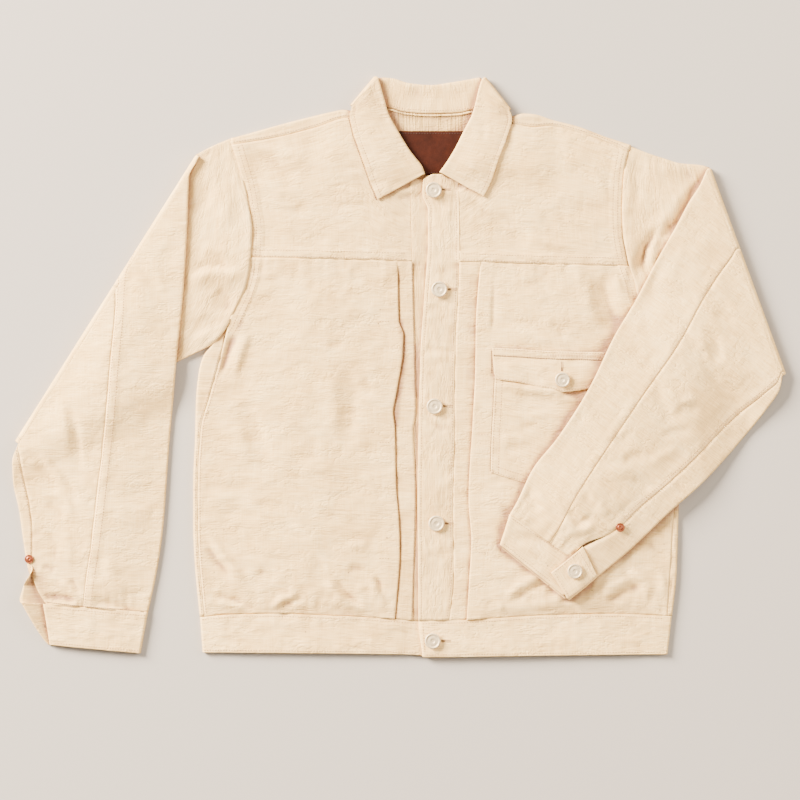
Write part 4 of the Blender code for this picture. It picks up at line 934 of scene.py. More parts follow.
# --- the plackets: doubled strips down both front edges, sewn along both sides; the buttonhole strip lies on top.
# The left one swells a little between the buttons and is crossed by short creases.
DOUBLE = 2.0
PLACKET_EDGE = [(-1, -10.5), (37, -16), (109, -16.5), (166, -17), (259, -15.5), (320, -14), (386, -9.5),
                (440, -6), (473, -6), (490, -12), (506, -11)]
PLACKET_CREASES = strokes(
    (4, -0.7, -11, 326, 6, 325, 24, 320), (4, 0.6, -10, 320, 11, 318), (4, -0.9, -13, 256, -3, 247, 10, 242, 24, 243),
    (4, 0.7, -11, 250, 3, 239), (4, -0.6, 4, 381, 18, 375, 24, 374), (4, -0.5, -8, 371, 11, 370),
    (4, 0.5, -6, 213, 11, 209), (4, -0.7, -5, 483, 5, 479, 17, 483), (4, 0.5, -1, 461, 8, 452, 14, 453))
placket_creases = relief(
    bolder(PLACKET_CREASES, 1.8) + crinkles(27, 90, (-18, 45, 28, 500), 0, 16, 2.6, 0.5), -40, 30, 40, 520)
for right, side in SIDES.items():
    columns = 22 if right else 26
    at = np.concatenate([[line(WAIST_TOP[right], 0)], np.linspace(41, 504, 200), [505.5]])
    share = np.concatenate([[0, 0.02], np.linspace(0.06, 0.94, columns - 4), [0.98, 1]])
    first, last = (line(STRIP_EDGE_RIGHT, at), np.full(len(at), 14.0)) if right else (
        line(PLACKET_EDGE, at), line(STITCH_EDGE_LEFT, at))
    above = smooth((at - 416) / 3)
    first, last = (first - 0.7 * above, last) if right else (first, last + 0.7 * above)
    x = first[:, None] + (last - first)[:, None] * share
    crown = 0 if right else bend_through(share, [0, 0.3, 0.5, 0.72, 1], [0.0, 5.5, 5.5, 0.8, 0.0])
    level = at[:, None] + crown * smooth((at[:, None] - 470) / 35)
    top = (PLACKET_RIGHT_TOP if right else PLACKET_LEFT_TOP) + lift(x, level)
    waist = line(WAIST_TOP[right], x) + SEAM
    level = np.where(at[:, None] == at[0], waist, level)
    flush = (line(PLACKET_EDGE, at)[:, None] - x) / (line(PLACKET_EDGE, at) - first)[:, None] if right else (
        1 - (last[:, None] - x) / 6)
    beside_yoke = (x[:, :1], at[:, None]) if right else (x[:, -1:], at[:, None])
    top = top + (yoke_surface(*beside_yoke) + 0.2 - top) * smooth(flush) * above[:, None]
    if not right:
        inner, outer = x - first[:, None], last[:, None] - x
        top = top + placket_creases(x, level) * smooth(inner / 3) * smooth(outer / 3 + 0.3)
        top = top + 0.35 * np.sin(math.pi * share) * (1 + unevenness(x, level, 30, 28))
        top = top + 0.22 * unevenness(x, level, 7, 29) + puckers(x, level, np.minimum(inner, outer), 30, 0.3, 5)
        top = top - 0.3 * bell(inner - 3.2, 1.2) - 0.3 * bell(outer - 2.6, 1.2)
        top = top - 0.7 * (1 - smooth(inner / 1.2)) - 0.45 * (1 - smooth(outer / 1.2)) * (1 - above[:, None])
    placket = cloth(f"cloth_placket_{side}", grid(x, level, top),
                    grid(x, level, np.minimum(top, top.mean() + 1) - DOUBLE), turn=90)
    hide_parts(f"placket_{side}")
sew("stitches_placket", ["cloth_placket_left", "cloth_placket_right", "cloth_front_left", "cloth_front_right"],
    rows_beside((up_line(PLACKET_EDGE, 42, 500, 160), -3.2), (up_line(STITCH_EDGE_LEFT, 42, 500, 160), 2.6)))


# --- the waistband: one doubled strip right round the hem, whose left end laps over the right end.
# A row is sewn along its upper edge and one along its lower edge, and the two draw it up a little.
BAND_TALL = 4.7
WAIST_BOTTOM = [(-250, 4), (-36, 2), (-14, 1), (-9, -1), (72, 0), (153, 1), (250, 2)]
band_creases = relief(crinkles(33, 120, (-250, 2, 250, 44), 90, 18, 3.4, 0.5)
                      + crinkles(34, 90, (-250, 4, 250, 40), 2, 30, 3.0, 0.4), -262, -8, 262, 56)
right_x = np.concatenate([np.linspace(17, -100, 60), np.linspace(-102, -232, 64)])
left_x = np.linspace(232, -13, 120)
roll = BAND_TALL / 2 - DOUBLE / 2
faces = [[], []]
for v in np.concatenate([[0, 0.02], np.linspace(0.06, 0.94, 17), [0.98, 1]]):
    y = 3 + 36 * v
    end_right, end_left = line(SIDE_RIGHT, y) + BAND_TALL / 2, line(SIDE_LEFT, y) - BAND_TALL / 2
    edge = line(PLACKET_EDGE, y)
    rounded = 0.45 * (1 - smooth(min(v, 1 - v) / 0.045)) + 0.3 * math.exp(-((v - 0.93) / 0.03) ** 2)
    rounded += 0.2 * math.exp(-((v - 0.07) / 0.03) ** 2)
    upper_z = BAND_TALL - DOUBLE / 2 + band_top(right_x)[0] - rounded
    upper_z += (band_creases(right_x, y) + puckers(right_x, y, 40 - y, 35, 0.4, 6) + 0.25 * unevenness(
        right_x, y, 12, 36)) * smooth((-right_x - 12) / 8) * smooth((right_x + 236) / 12)
    over_x = left_x + np.where(left_x < -12.9, edge + 13, 0)
    over_z = BAND_TALL - DOUBLE / 2 + band_top(left_x)[1] - rounded - 0.4 * (1 - smooth((left_x + 13) / 1.5))
    over_z += (band_creases(left_x, y) + puckers(left_x, y, 40 - y, 35, 0.4, 6) + 0.25 * unevenness(
        left_x, y, 12, 36)) * smooth((left_x + 13) / 5) * smooth((236 - left_x) / 12)
    lower_x = np.linspace(end_right, end_left, 60)
    upper = joined(right_x, upper_z)
    over = joined(over_x, over_z)
    path = np.vstack([upper, [[end_right, BAND_TALL - DOUBLE / 2]],
                      arc((end_right, BAND_TALL / 2), roll, 90, 180, 8),
                      joined(lower_x[1:], DOUBLE / 2),
                      arc((end_left, BAND_TALL / 2), roll, -90, 180, 8), over])
    bottom = line(WAIST_BOTTOM, path[:, 0])
    top = np.where(np.arange(len(path)) < len(upper) + 5, line(WAIST_TOP_RIGHT, path[:, 0]),
                   line(WAIST_TOP_LEFT, path[:, 0]))
    under = slice(len(upper) + 5, len(path) - len(over) - 4)
    top[under] = 41 + np.clip((path[under, 0] - BACK_SEAM_START) / BACK_SEAM_LONG, 0, 1)
    for face, side in zip(faces, ribbon(path, DOUBLE)):
        face.append(across(bottom + (top - bottom) * v, side))
waistband = cloth("cloth_waistband", *faces)
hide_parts("waistband")
sew("stitches_waistband", ["cloth_waistband"], rows_beside(
    (cross_line(WAIST_TOP_RIGHT, -246, -16, 120), -2.6), (cross_line(WAIST_TOP_LEFT, -12, 246, 120), -2.6),
    (cross_line(WAIST_BOTTOM, -244, -16, 120), 2.6), (cross_line(WAIST_BOTTOM, -8, 244, 120), 2.6)) + [
    [(-9.5, 4), (-11.5, 34)]])


# --- the chest pocket and its flap: the pocket is sewn on the left front along its sides and pointed foot.
# The flap is caught along its upper edge by a dense stitched band and covers the pocket's mouth.
LAYER_REST = 0.45
POCKET_LEFT = [(194, 60.5), (220, 61), (260, 63), (302, 65)]
POCKET_RIGHT = [(197, 209), (302, 205)]
POCKET_BOTTOM = [(60, 195), (95, 184), (135, 171), (175, 184), (210, 197)]
POCKET_MOUTH = [(60, 302), (135, 296), (210, 302)]
FLAP_TOP = [(60, 319), (95, 317), (129, 315), (180, 314), (212, 313)]
FLAP_BOTTOM = [(62, 299), (67, 293), (89, 290), (106, 286), (123, 283), (136, 280), (157, 282), (176, 286),
               (196, 291), (203, 297)]
POCKET_CREASES = strokes(
    (5, 1.6, 66, 292, 98, 284, 127, 282, 140, 275, 154, 272), (4, -1.5, 134, 280, 147, 278, 157, 278),
    (5, -0.9, 87, 278, 112, 274, 133, 267), (5, 0.6, 76, 257, 103, 255, 129, 259), (4, -0.6, 90, 243, 112, 245),
    (5, -0.6, 73, 222, 99, 224, 112, 220), (6, 0.7, 68, 231, 87, 234, 105, 231))
FLAP_CREASES = strokes(
    (5, -1.1, 86, 309, 99, 298, 117, 289), (5, 1.0, 73, 313, 87, 301, 103, 292), (4, -0.6, 129, 311, 140, 301))
pocket_creases = relief(
    bolder(POCKET_CREASES, 1.8) + crinkles(43, 60, (62, 180, 206, 300), 0, 26, 3.0, 0.45), 50, 160, 220, 310)
flap_creases = relief(FLAP_CREASES + crinkles(44, 30, (64, 282, 204, 316), 0, 22, 2.8, 0.45), 50, 270, 220, 325)
FLAP_BAND = 8.4
POCKET_FROM, POCKET_WIDE = 60, 149
FLAP_FROM, FLAP_WIDE = 62, 144
dense = np.concatenate([[0, 0.006], np.linspace(0.018, 0.982, 62), [0.994, 1]])
down = dense[:, None]
guess = POCKET_FROM + POCKET_WIDE * dense
high, low = line(POCKET_MOUTH, guess), line(POCKET_BOTTOM, guess)
y = high + (low - high) * down
x = line(POCKET_LEFT, y) + (line(POCKET_RIGHT, y) - line(POCKET_LEFT, y)) * dense
edge = np.minimum(np.minimum(x - line(POCKET_LEFT, y), line(POCKET_RIGHT, y) - x), y - low)
gape = 1.0 * bell(x - 135, 45.0) * smooth((y - 255) / 40)
base = front_surface(False, x, y)
calm = front_top(False, x, y) + 0.5
top = base + (calm - base) * smooth(edge / 14) * 0.6 + 0.9 + gape + pocket_creases(x, y) * smooth(edge / 9)
top += 0.35 * smooth(edge / 1.2) - 0.35 * bell(edge - 1.8, 1.0) - 0.25 * bell(edge - 8, 1.0)
top += puckers(x, y, edge, 45, 0.3, 5) + 0.2 * unevenness(x, y, 9, 46)
top = np.maximum(top, base + 0.55)
pocket = cloth("cloth_pocket", grid(x, y, top), grid(x, y, base - 0.35))
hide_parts("pocket")

guess = FLAP_FROM + FLAP_WIDE * dense
down = dense[::2, None]
high, low = line(FLAP_TOP, guess) + FLAP_BAND, line(FLAP_BOTTOM, np.clip(guess, 62, 203))
y = high + (low - high) * down
x = FLAP_FROM + 2 * down + (FLAP_WIDE - 2 * down) * dense
over = smooth((318 - y) / 12)
edge = np.minimum(np.minimum(x - FLAP_FROM - 2 * down, FLAP_FROM + FLAP_WIDE - x), y - low)
head = high - y
gape = 1.2 * bell(x - 135, 45.0) * smooth((315 - y) / 25)
top = front_top(False, x, y) + 1.5 + 1.75 * over + gape + flap_creases(x, y) * smooth(head / 8) + 0.2 * unevenness(
    x, y, 8, 47) + puckers(x, y, head, 48, 0.35, 5)
top += 0.5 * smooth(edge / 1.2) - 0.3 * bell(edge - 2.0, 1.0)
top += 0.45 * (1 - smooth((head - 7.5) / 1.4)) - 0.4 * (1 - smooth(head / 1.0))
top -= 0.5 * bell(head - 8.6, 0.8)
top = np.maximum(top, front_surface(False, x, y) + 1.0)
flap = cloth("cloth_pocket_flap", grid(x, y, top), grid(x, y, top - 1.3))
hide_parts("pocket_flap")


def moved(table, off):
    """The same line, moved by off across its run."""
    return [(at, place + off) for at, place in table]


sew("stitches_pocket", ["cloth_pocket", "cloth_front_left"], [
    up_line(moved(POCKET_LEFT, off), 194, 300) for off in (1.9, 8)] + [
    up_line(moved(POCKET_RIGHT, off), 196, 300) for off in (-1.9, -8)] + [
    cross_line(moved(POCKET_BOTTOM, 1.8), 62, 208), cross_line(moved(POCKET_BOTTOM, 8), 66, 204)])
sew("stitches_flap", ["cloth_pocket_flap"], [
    cross_line(moved(FLAP_TOP, 7.0), 63, 205), cross_line(moved(FLAP_TOP, 0.6), 63, 205),
    cross_line(moved(FLAP_BOTTOM, 2), 66, 203)])
# Thin dark lines laid along the flap's edges and the pocket's left edge are painted shade in the seams.
seam_shade = plain_finish("shade_in_the_seam", (0.16, 0.085, 0.048), 0.9)[0]
SEAM_SHADE = dict(finish=seam_shade, pitch=2.2, long=2.25)
sew("painted_shade_pocket_seams", ["cloth_pocket_flap", "cloth_pocket", "cloth_front_left"], [
    cross_line(moved(FLAP_TOP, 8.5), 62, 207), cross_line(moved(FLAP_TOP, -0.2), 63, 206),
    up_line(moved(POCKET_LEFT, -0.5), 196, 297), [(61.4, 300), (61.3, 325)]], radius=0.5, **SEAM_SHADE)
sew("stitches_flap_band", ["cloth_pocket_flap"], [
    [(x, line(FLAP_TOP, x) + 1.6), (x, line(FLAP_TOP, x) + 6.2)] for x in np.arange(120, 203, 1.7)],
    radius=0.3, pitch=4.5, long=4.3)


# --- the collar: doubled, from its stand sewn in the neck seam up to the roll line and down again.
# Its leaves lie on the chest yokes; behind the neck the fall lies under the back yoke.
# Each row: the neck seam, the roll line and the free edge in plan, and how far the collar has turned over.
COLLAR_RIGHT = [
    (-19, 508, -9, 511, -59, 484, 0), (-27, 513, -12, 519, -67, 504, 0), (-42, 525, -25, 536, -75, 527, 0),
    (-55, 540, -39, 559, -84, 552, 0), (-66, 556, -49, 578, -89, 573, 0), (-71, 565, -53, 592, -87.5, 579, 0),
    (-74, 572, -56.5, 604, -87, 581.5, 0),
    *[(-76, 578, -58.6, 613.5, -86.5, 583.5, turn) for turn in (0, 45, 90, 135)],
    (-76, 579, -58.6, 613.5, -86.5, 583.5, 180), (-63, 581.5, -54, 614, -80, 566, 180),
    (-49, 582, -43, 613, -62, 550, 180), (-31, 577.5, -26, 608, -34, 542, 180), (-4, 575.5, -3, 606, -4, 539, 180)]
COLLAR_LEFT = [
    (19, 508, 6, 513, 53, 487, 0), (26, 513, 12, 521, 61, 503, 0), (38, 524, 22, 537, 69, 527, 0),
    (49, 540, 33, 559, 78, 551, 0), (60, 555, 41, 575, 83, 568, 0), (65, 563, 45, 588, 82, 575, 0),
    (68, 569, 48, 601, 81, 577, 0),
    *[(70, 573.5, 51.5, 612, 80.5, 579, turn) for turn in (0, 45, 90, 135)],
    (70, 575.5, 51.5, 612, 80.5, 579, 180), (56, 579.5, 49, 614, 74, 564, 180),
    (43, 579.5, 38, 612, 56, 549, 180), (25, 576.5, 20, 609, 30, 541, 180)]
COLLAR_CREASES = strokes(
    (5, -0.5, -64, 569, -48, 567, -37, 562, -29, 551), (5, 0.4, -79, 551, -64, 545, -54, 533),
    (4, -0.4, -51, 505, -37, 503, -26, 500), (5, 0.4, -64, 495, -43, 497), (5, -0.5, 51, 567, 55, 558, 51, 545),
    (5, 0.4, 23, 523, 37, 525, 48, 520), (4, -0.4, 19, 509, 30, 503, 45, 499), (6, -0.4, -23, 604, -17, 595, -5, 590))
COLLAR_STEP = DOUBLE + LAYER_REST
STAND, ROLL, FALL = 14, 8, 28
collar_creases = relief(
    bolder(COLLAR_CREASES, 2.4) + crinkles(53, 60, (-92, 485, 86, 612), 20, 22, 3.2, 0.35), -110, 470, 110, 625)
stations = np.array(COLLAR_RIGHT + COLLAR_LEFT[::-1], float)
places = np.arange(len(stations))
thick = np.concatenate([[0, 0.04, 0.12], np.arange(0.2, 29.8, 0.155), [29.88, 29.96, 30]])
faces = [[], []]
for place in thick:
    neck_x, neck_y, roll_x, roll_y, edge_x, edge_y, degrees = [
        float(bend_through(place, places, stations[:, k])) for k in range(7)]
    neck, roll, edge = np.array([neck_x, neck_y]), np.array([roll_x, roll_y]), np.array([edge_x, edge_y])
    outward = np.array([-0.87, 0.49]) if neck_x < 0 else np.array([0.75, 0.66])
    theta = math.radians(degrees)
    up = (roll - neck) / np.linalg.norm(roll - neck)
    roll = roll - up * (COLLAR_STEP / 2 + DOUBLE / 2)
    stand = np.linalg.norm(roll - neck)
    fall = np.linalg.norm(edge - roll)
    shares = np.concatenate([np.linspace(0.03, 0.97, FALL - 2), [0.99, 1.0]])
    path = np.vstack([joined(np.linspace(0, stand, STAND), 0),
                      arc((stand, COLLAR_STEP / 2), COLLAR_STEP / 2, -90, 180, ROLL),
                      joined(stand - fall * shares, COLLAR_STEP)])
    wall = DOUBLE - 0.6 * (place < 0.02 or place > 29.98)
    weight = (1 + math.cos(theta)) / 2
    for face, side in zip(faces, ribbon(path, wall)):
        along, off = side[:, 0], side[:, 1]
        k = np.arange(len(side))
        part = (stand - along) / fall
        spots = np.where((k < STAND + ROLL / 2)[:, None], neck + up * along[:, None],
                         roll + (edge - roll) * part[:, None])
        x, y = spots.T
        front_z = yoke_top(x, y) - CLOTH / 2 + off
        part = np.clip(part, 0, 1)
        rim = fall * (1 - part)
        swell = 1.2 * np.sin(math.pi * part) ** 2 + collar_creases(x, y) * smooth(part / 0.15)
        swell += 0.3 * unevenness(x, y, 20, 54) - 0.35 * bell(rim - 4.5, 1.3)
        swell += puckers(x, y, rim, 55, 0.3, 6) - 0.3 * (1 - smooth(rim / 1.5))
        front_z = front_z + np.where(k >= STAND + ROLL, swell, 0)
        rough = 0.3 * unevenness(x, y, 12, 56) * smooth(along / 8) + collar_creases(x, y)
        back_z = DOUBLE / 2 + COLLAR_STEP - off + np.where(k < STAND, rough, 0)
        spots = spots + outward * math.sin(theta) * ((SIDE_TALL / 2 - 0.8 + off) * (1 - 0.55 * part))[:, None]
        face.append(np.column_stack([spots, back_z + (front_z - back_z) * weight]))
collar = cloth("cloth_collar", *faces)
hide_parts("collar")
leaf = [[(row[4], row[5]) for row in table[:8]] for table in (COLLAR_RIGHT, COLLAR_LEFT)]
sew("stitches_collar", ["cloth_collar"], [
    beside(leaf[0], -4.5), beside(leaf[1], 4.5), [(-52, 488.5), (-16, 505)], [(46, 491.5), (14, 507)],
    [(row[0], row[1] + 3) for row in COLLAR_RIGHT[12:]] + [(row[0], row[1] + 3) for row in COLLAR_LEFT[:11:-1]]])
# A dark line on the yoke just outside the right leaf's outer edge is painted shade.
sew("painted_shade_collar_edge", ["cloth_yoke_right"], [beside(leaf[0], 1.7)], radius=0.5, **SEAM_SHADE)


# --- the label: a piece of brown hide sewn flat inside the neck, below the back seam of the collar, left bare.
# Its grain and its clouded brown are painted by the material, and its edge is pressed down a little.
LABEL_X, LABEL_Y = (-46, 41), (510, 557)
leather, tree, shader, where, _ = clouded_finish("bare_hide", 90.0, 5.0, (0.3, (0.021, 0.0040, 0.0016)),
                                                 (0.72, (0.038, 0.0080, 0.0034)), 0.62, 0.6)
grain = node(tree, "TexVoronoi", Vector=where, Scale=1100.0, Randomness=1.0)
pores = node(tree, "Bump", Height=grain.outputs["Distance"], Strength=0.35, Distance=0.0004)
tree.links.new(pores.outputs[0], shader.inputs["Normal"])
shader.inputs["Specular IOR Level"].default_value = 0.12
x, y = np.meshgrid(np.linspace(*LABEL_X, 46), np.linspace(*LABEL_Y, 28))
edge = np.minimum(np.minimum(x - LABEL_X[0], LABEL_X[1] - x), np.minimum(y - LABEL_Y[0], LABEL_Y[1] - y))
top = CLOTH + lift(x, y) + 1.3 + 0.25 * unevenness(x, y, 18, 61) + 0.12 * unevenness(x, y, 5, 62)
top -= 0.5 * (1 - smooth(edge / 1.5)) + 0.25 * bell(edge - 2.5, 0.9)
label = cloth("hide_label", grid(x, y, top), grid(x, y, top * 0 + CLOTH + lift(x, y) + 0.1),
              leather)
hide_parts("neck_label")
brown_thread = plain_finish("brown_thread", (0.02, 0.006, 0.003), 0.7)[0]
corners = [(-43.5, 512.5), (38.5, 512.5), (38.5, 554.5), (-43.5, 554.5)]
sew("stitches_label", ["hide_label"], [[a, b] for a, b in zip(corners, corners[1:] + corners[:1])],
    slot="label_leather", finish=brown_thread)


# --- the sleeves: each is a flattened tube of a wide top piece and a narrow under piece, set in its armhole.
# It lies out from the shoulder, then folds over along a slant, so that its under side shows on the forearm.
HEAD_TALL = 4.0
FOLD_RADIUS = 4.6
ARMHOLE_GAP = 0.15
LEFT_TWILL = np.array([[0.815, 0.58], [-0.58, 0.815]])
LEFT_DOWN = (0.566, 0.825)
SLEEVE = {
    True: dict(
        fold=[(-252, 532), (-444, 228)], head=[(-216, 549), (-236, 540.5), (-252, 532)],
        inner=[(-252, 532), (-259, 508), (-261, 456), (-265, 388), (-271, 329), (-276, 273), (-280, 232),
               (-287, 137), (-293, 94), (-303, 46)],
        outer=[(-444, 228), (-446.5, 206), (-446, 185), (-440, 155), (-435, 120), (-431, 95), (-423, 70),
               (-414, 55)],
        middle=[(-322, 438), (-335, 402), (-337, 362), (-342, 308), (-345, 270), (-352, 208), (-362, 123),
                (-368, 83), (-372, 50)],
        slit=[(-440, 245), (-441, 226), (-437, 198), (-430, 166), (-426, 134), (-426, 102), (-425, 78),
              (-424, 66), (-414, 54)]),
    False: dict(
        fold=[(294, 518), (374, 299)],
        head=[(209, 541), (228, 533.5), (245, 528), (262, 523), (284, 521), (294, 518)],
        inner=[(294, 518), (283, 501), (271, 482), (257, 456), (236, 419), (212, 374), (192, 341), (164, 284),
               (131, 232), (105, 199), (88, 164), (80, 150)],
        outer=[(374, 299), (367, 284), (353, 262), (329, 232), (286, 185), (250, 153), (208, 113), (174, 85)],
        middle=[(321, 431), (288, 383), (261, 334), (220, 275), (175, 208), (153, 174), (130, 131)],
        slit=[(372, 297), (351, 278), (315, 249), (275, 208), (248, 183), (215, 155), (197, 137), (152, 113)]),
}
HEAD_RIGHT_CREASES = strokes(
    (3, -1.3, -257, 407, -244, 414, -227, 416, -207, 409), (8, 2.0, -262, 400, -236, 407, -212, 405, -201, 396),
    (10, -1.6, -229, 391, -221, 379, -219, 362), (4, -0.7, -243, 430, -229, 423, -219, 414),
    (5, 0.8, -246, 436, -229, 430, -212, 428), (6, -0.8, -240, 539, -236, 534),
    (8, -0.9, -256, 348, -240, 357, -226, 350), (6, 1.0, -255, 333, -238, 343, -224, 333),
    (10, -0.9, -236, 507, -243, 487, -246, 463), (12, 0.9, -221, 507, -219, 482, -221, 453))
ARM_RIGHT_CREASES = strokes(
    (6, -0.7, -322, 418, -319, 406, -322, 392), (7, -0.9, -316, 414, -304, 406, -295, 392, -294, 379),
    (7, 0.8, -309, 418, -292, 406, -283, 389), (8, -0.7, -285, 436, -278, 425, -277, 409),
    (4, -0.4, -317, 440, -302, 441, -287, 438), (4, -0.5, -324, 335, -314, 332, -294, 332),
    (5, 0.5, -292, 347, -280, 350), (6, -1.4, -387, 272, -380, 249, -377, 225, -373, 194),
    (7, 1.1, -395, 274, -389, 247, -385, 219), (6, 1.2, -418, 219, -404, 200, -393, 188, -381, 186),
    (6, -1.2, -420, 210, -406, 188, -393, 176), (5, -1.0, -410, 166, -398, 155, -389, 145),
    (5, 1.0, -402, 178, -389, 166, -381, 149), (5, -0.9, -393, 194, -383, 178, -377, 162),
    (5, -0.8, -416, 96, -400, 91), (5, 0.9, -398, 82, -385, 73, -377, 62), (4, -1.0, -385, 84, -374, 66),
    (5, -1.5, -416, 64, -395, 63, -374, 59), (6, 1.3, -410, 56, -391, 56, -375, 54),
    (5, -1.6, -361, 59, -340, 55, -312, 46), (5, 1.3, -365, 54, -340, 49, -314, 42),
    (7, -1.1, -355, 110, -352, 92, -349, 79), (7, 0.9, -345, 108, -338, 84, -322, 68),
    (8, -0.6, -334, 178, -312, 176, -295, 166), (8, 0.6, -340, 155, -316, 151, -296, 155),
    (6, -0.6, -302, 153, -295, 155), (5, -0.8, -410, 135, -400, 117, -402, 100),
    (6, 0.7, -391, 135, -385, 115, -387, 96))
HEAD_LEFT_CREASES = strokes(
    (4, -2.2, 245, 459, 235, 449, 225, 431, 222, 415, 228, 401),
    (5, 1.8, 256, 467, 243, 456, 233, 439, 233, 419, 237, 404), (4, -1.3, 243, 459, 254, 457, 263, 467),
    (4, -1.2, 213, 430, 216, 413, 219, 398), (6, 1.3, 207, 448, 213, 430, 211, 409),
    (6, -0.9, 205, 474, 222, 463, 233, 461), (6, -0.8, 209, 530, 215, 517, 228, 512),
    (6, 0.7, 222, 523, 243, 517, 265, 519), (5, -0.7, 228, 536, 237, 525), (8, -0.8, 265, 519, 274, 504, 267, 486),
    (8, 0.7, 243, 497, 256, 486, 252, 474))
DEEP_LEFT = strokes(
    (3.2, -2.3, 291, 515, 281, 499, 272, 482, 264, 468, 255, 455),
    (2.8, -2.0, 259, 457, 246, 448, 234, 444, 226, 433, 222, 420, 227, 402),
    (3.6, 1.4, 277, 508, 264, 489, 252, 470, 238, 459, 226, 446), (3.0, 1.3, 248, 436, 237, 428, 231, 414, 236, 398),
    (2.2, -1.3, 215, 512, 218, 492, 213, 474))
ARM_LEFT_CREASES = strokes(
    (7, 1.1, 316, 419, 330, 409, 347, 398), (6, -0.9, 313, 409, 328, 398, 343, 385),
    (5, -1.0, 289, 390, 304, 380, 318, 366), (5, 0.9, 293, 396, 311, 385, 323, 374),
    (5, -0.9, 295, 363, 308, 362, 321, 356), (6, -1.2, 283, 348, 298, 339, 306, 309),
    (6, 1.1, 267, 344, 282, 335, 293, 313), (5, -0.9, 278, 322, 291, 324, 306, 313),
    (10, -0.8, 237, 417, 228, 389, 239, 368), (10, 0.7, 256, 430, 252, 400, 261, 383),
    (6, -1.1, 234, 292, 240, 273, 250, 255, 270, 257), (6, 1.0, 246, 285, 260, 269, 280, 273),
    (6, -1.0, 254, 263, 270, 265, 282, 259), (5, -0.8, 238, 233, 254, 239, 274, 241),
    (6, 0.8, 226, 202, 242, 214, 262, 223), (6, -1.0, 199, 209, 211, 212, 224, 214),
    (5, -0.7, 209, 190, 222, 184, 230, 176), (6, 0.7, 181, 202, 197, 196, 213, 202),
    (6, -0.7, 189, 223, 201, 229, 209, 243), (5, -1.2, 99, 177, 107, 164, 113, 153),
    (5, 1.2, 108, 174, 118, 162, 126, 154), (5, 1.4, 135, 151, 149, 135, 161, 135, 170, 142),
    (4, -1.3, 140, 158, 155, 143, 169, 150), (5, -1.0, 161, 178, 165, 162, 177, 154), (5, 0.9, 173, 164, 185, 150),
    (5, -0.9, 84, 162, 96, 158), (6, -0.8, 157, 273, 153, 259, 161, 245), (5, -0.8, 222, 135, 234, 141, 248, 156))


def walk(points, fractions):
    """Points on a smooth curve through the given ones, at fractions of its length."""
    points = np.asarray(points, float)
    chord = lengths(points)
    fine = np.linspace(0, chord[-1], 600)
    dense = np.stack([bend_through(fine, chord, points[:, k]) for k in range(2)], axis=1)
    length = lengths(dense)
    at = np.asarray(fractions) * length[-1]
    return np.stack([np.interp(at, length, dense[:, k]) for k in range(2)], axis=1)


def below_line(x, y, a, b):
    """Distance of points below the line from a to b."""
    a, b = np.asarray(a, float), np.asarray(b, float)
    along = (b - a) / np.linalg.norm(b - a)
    normal = np.array([along[1], -along[0]])
    normal = normal if normal[1] < 0 else -normal
    return (x - a[0]) * normal[0] + (y - a[1]) * normal[1]


def support(right, x, y):
    """Height that the folded forearm must clear."""
    under = below_line(x, y, (-235, 330) if right else (235, 335), SLEEVE[right]["fold"][1])
    head = (SIDE_TALL + 1.6) * smooth(1 - (under - 9) / 42)
    if right:
        return head
    side = line(SIDE_LEFT, np.clip(y, 3, 334))
    on_body = smooth(1 - (x - side - 6) / 70)
    inner = np.minimum(x, line(SIDE_SEAM_LEFT, y) - 1)
    body = front_top(False, inner, np.clip(y, 45, 420)) + LAYER_REST + 0.25
    pocket_rise = (CLOTH + LAYER_REST + 1.0) * smooth((y - 100) / 70) * smooth((396 - y) / 76)
    flap_rise = (CLOTH + LAYER_REST + 1.8) * smooth((y - 206) / 74) * smooth((396 - y) / 76)
    return np.maximum(head * smooth((x - 190) / 30 + 1), (body + pocket_rise + flap_rise) * on_body)


def sleeve_rings(right):
    """Each ring: its two ends on the flattened outline, its curve, and its zone and place along the sleeve."""
    armhole = [(x, y) for y, x in (ARMHOLE_RIGHT if right else ARMHOLE_LEFT[:-1])][::-1]
    form = SLEEVE[right]
    fold = np.asarray(form["fold"], float)
    along = (fold[1] - fold[0]) / np.linalg.norm(fold[1] - fold[0])
    out = np.array([along[1], -along[0]])
    out = -out if out[0] * (-1 if right else 1) < 0 else out
    axis = fold - out * FOLD_RADIUS
    rings = []
    low = np.asarray(armhole[-1], float)
    for share in np.linspace(0, 0.985, 64 if right else 48):
        ends = np.array([walk(form["head"], [share])[0], low + (fold[1] - low) * share])
        rings.append(dict(ends=ends, curve=(1 - share) ** 1.6, zone="head", share=share))
    for angle in np.linspace(0, 180, 13):
        rings.append(dict(ends=axis, curve=0, angle=angle, zone="bend", share=1, out=out))
    shares = np.linspace(0, 1, 141)[1:]
    a = walk(np.vstack([axis[:1], form["inner"][1:]]), shares)
    b = walk(np.vstack([axis[1:], form["outer"][1:]]), shares ** 0.8)
    for share, p, q in zip(shares, a, b):
        rings.append(dict(ends=np.array([p, q]), curve=0, zone="arm", share=share))
    return rings, np.asarray(armhole, float)


def seam_share(ring, table):
    """Where a seam crosses a ring, as a fraction of its width."""
    t = np.linspace(0.02, 0.985, 500)
    a, b = ring["ends"]
    spots = a + (b - a) * t[:, None]
    gap = np.linalg.norm(spots[:, None] - walk(table, np.linspace(0, 1, 160))[None], axis=2).min(axis=1)
    return t[gap.argmin()]


def evened(values, span=9):
    """A run of values with its steps smoothed away."""
    padded = np.pad(np.asarray(values, float), span // 2, mode="edge")
    return np.convolve(padded, np.ones(span) / span, mode="valid")


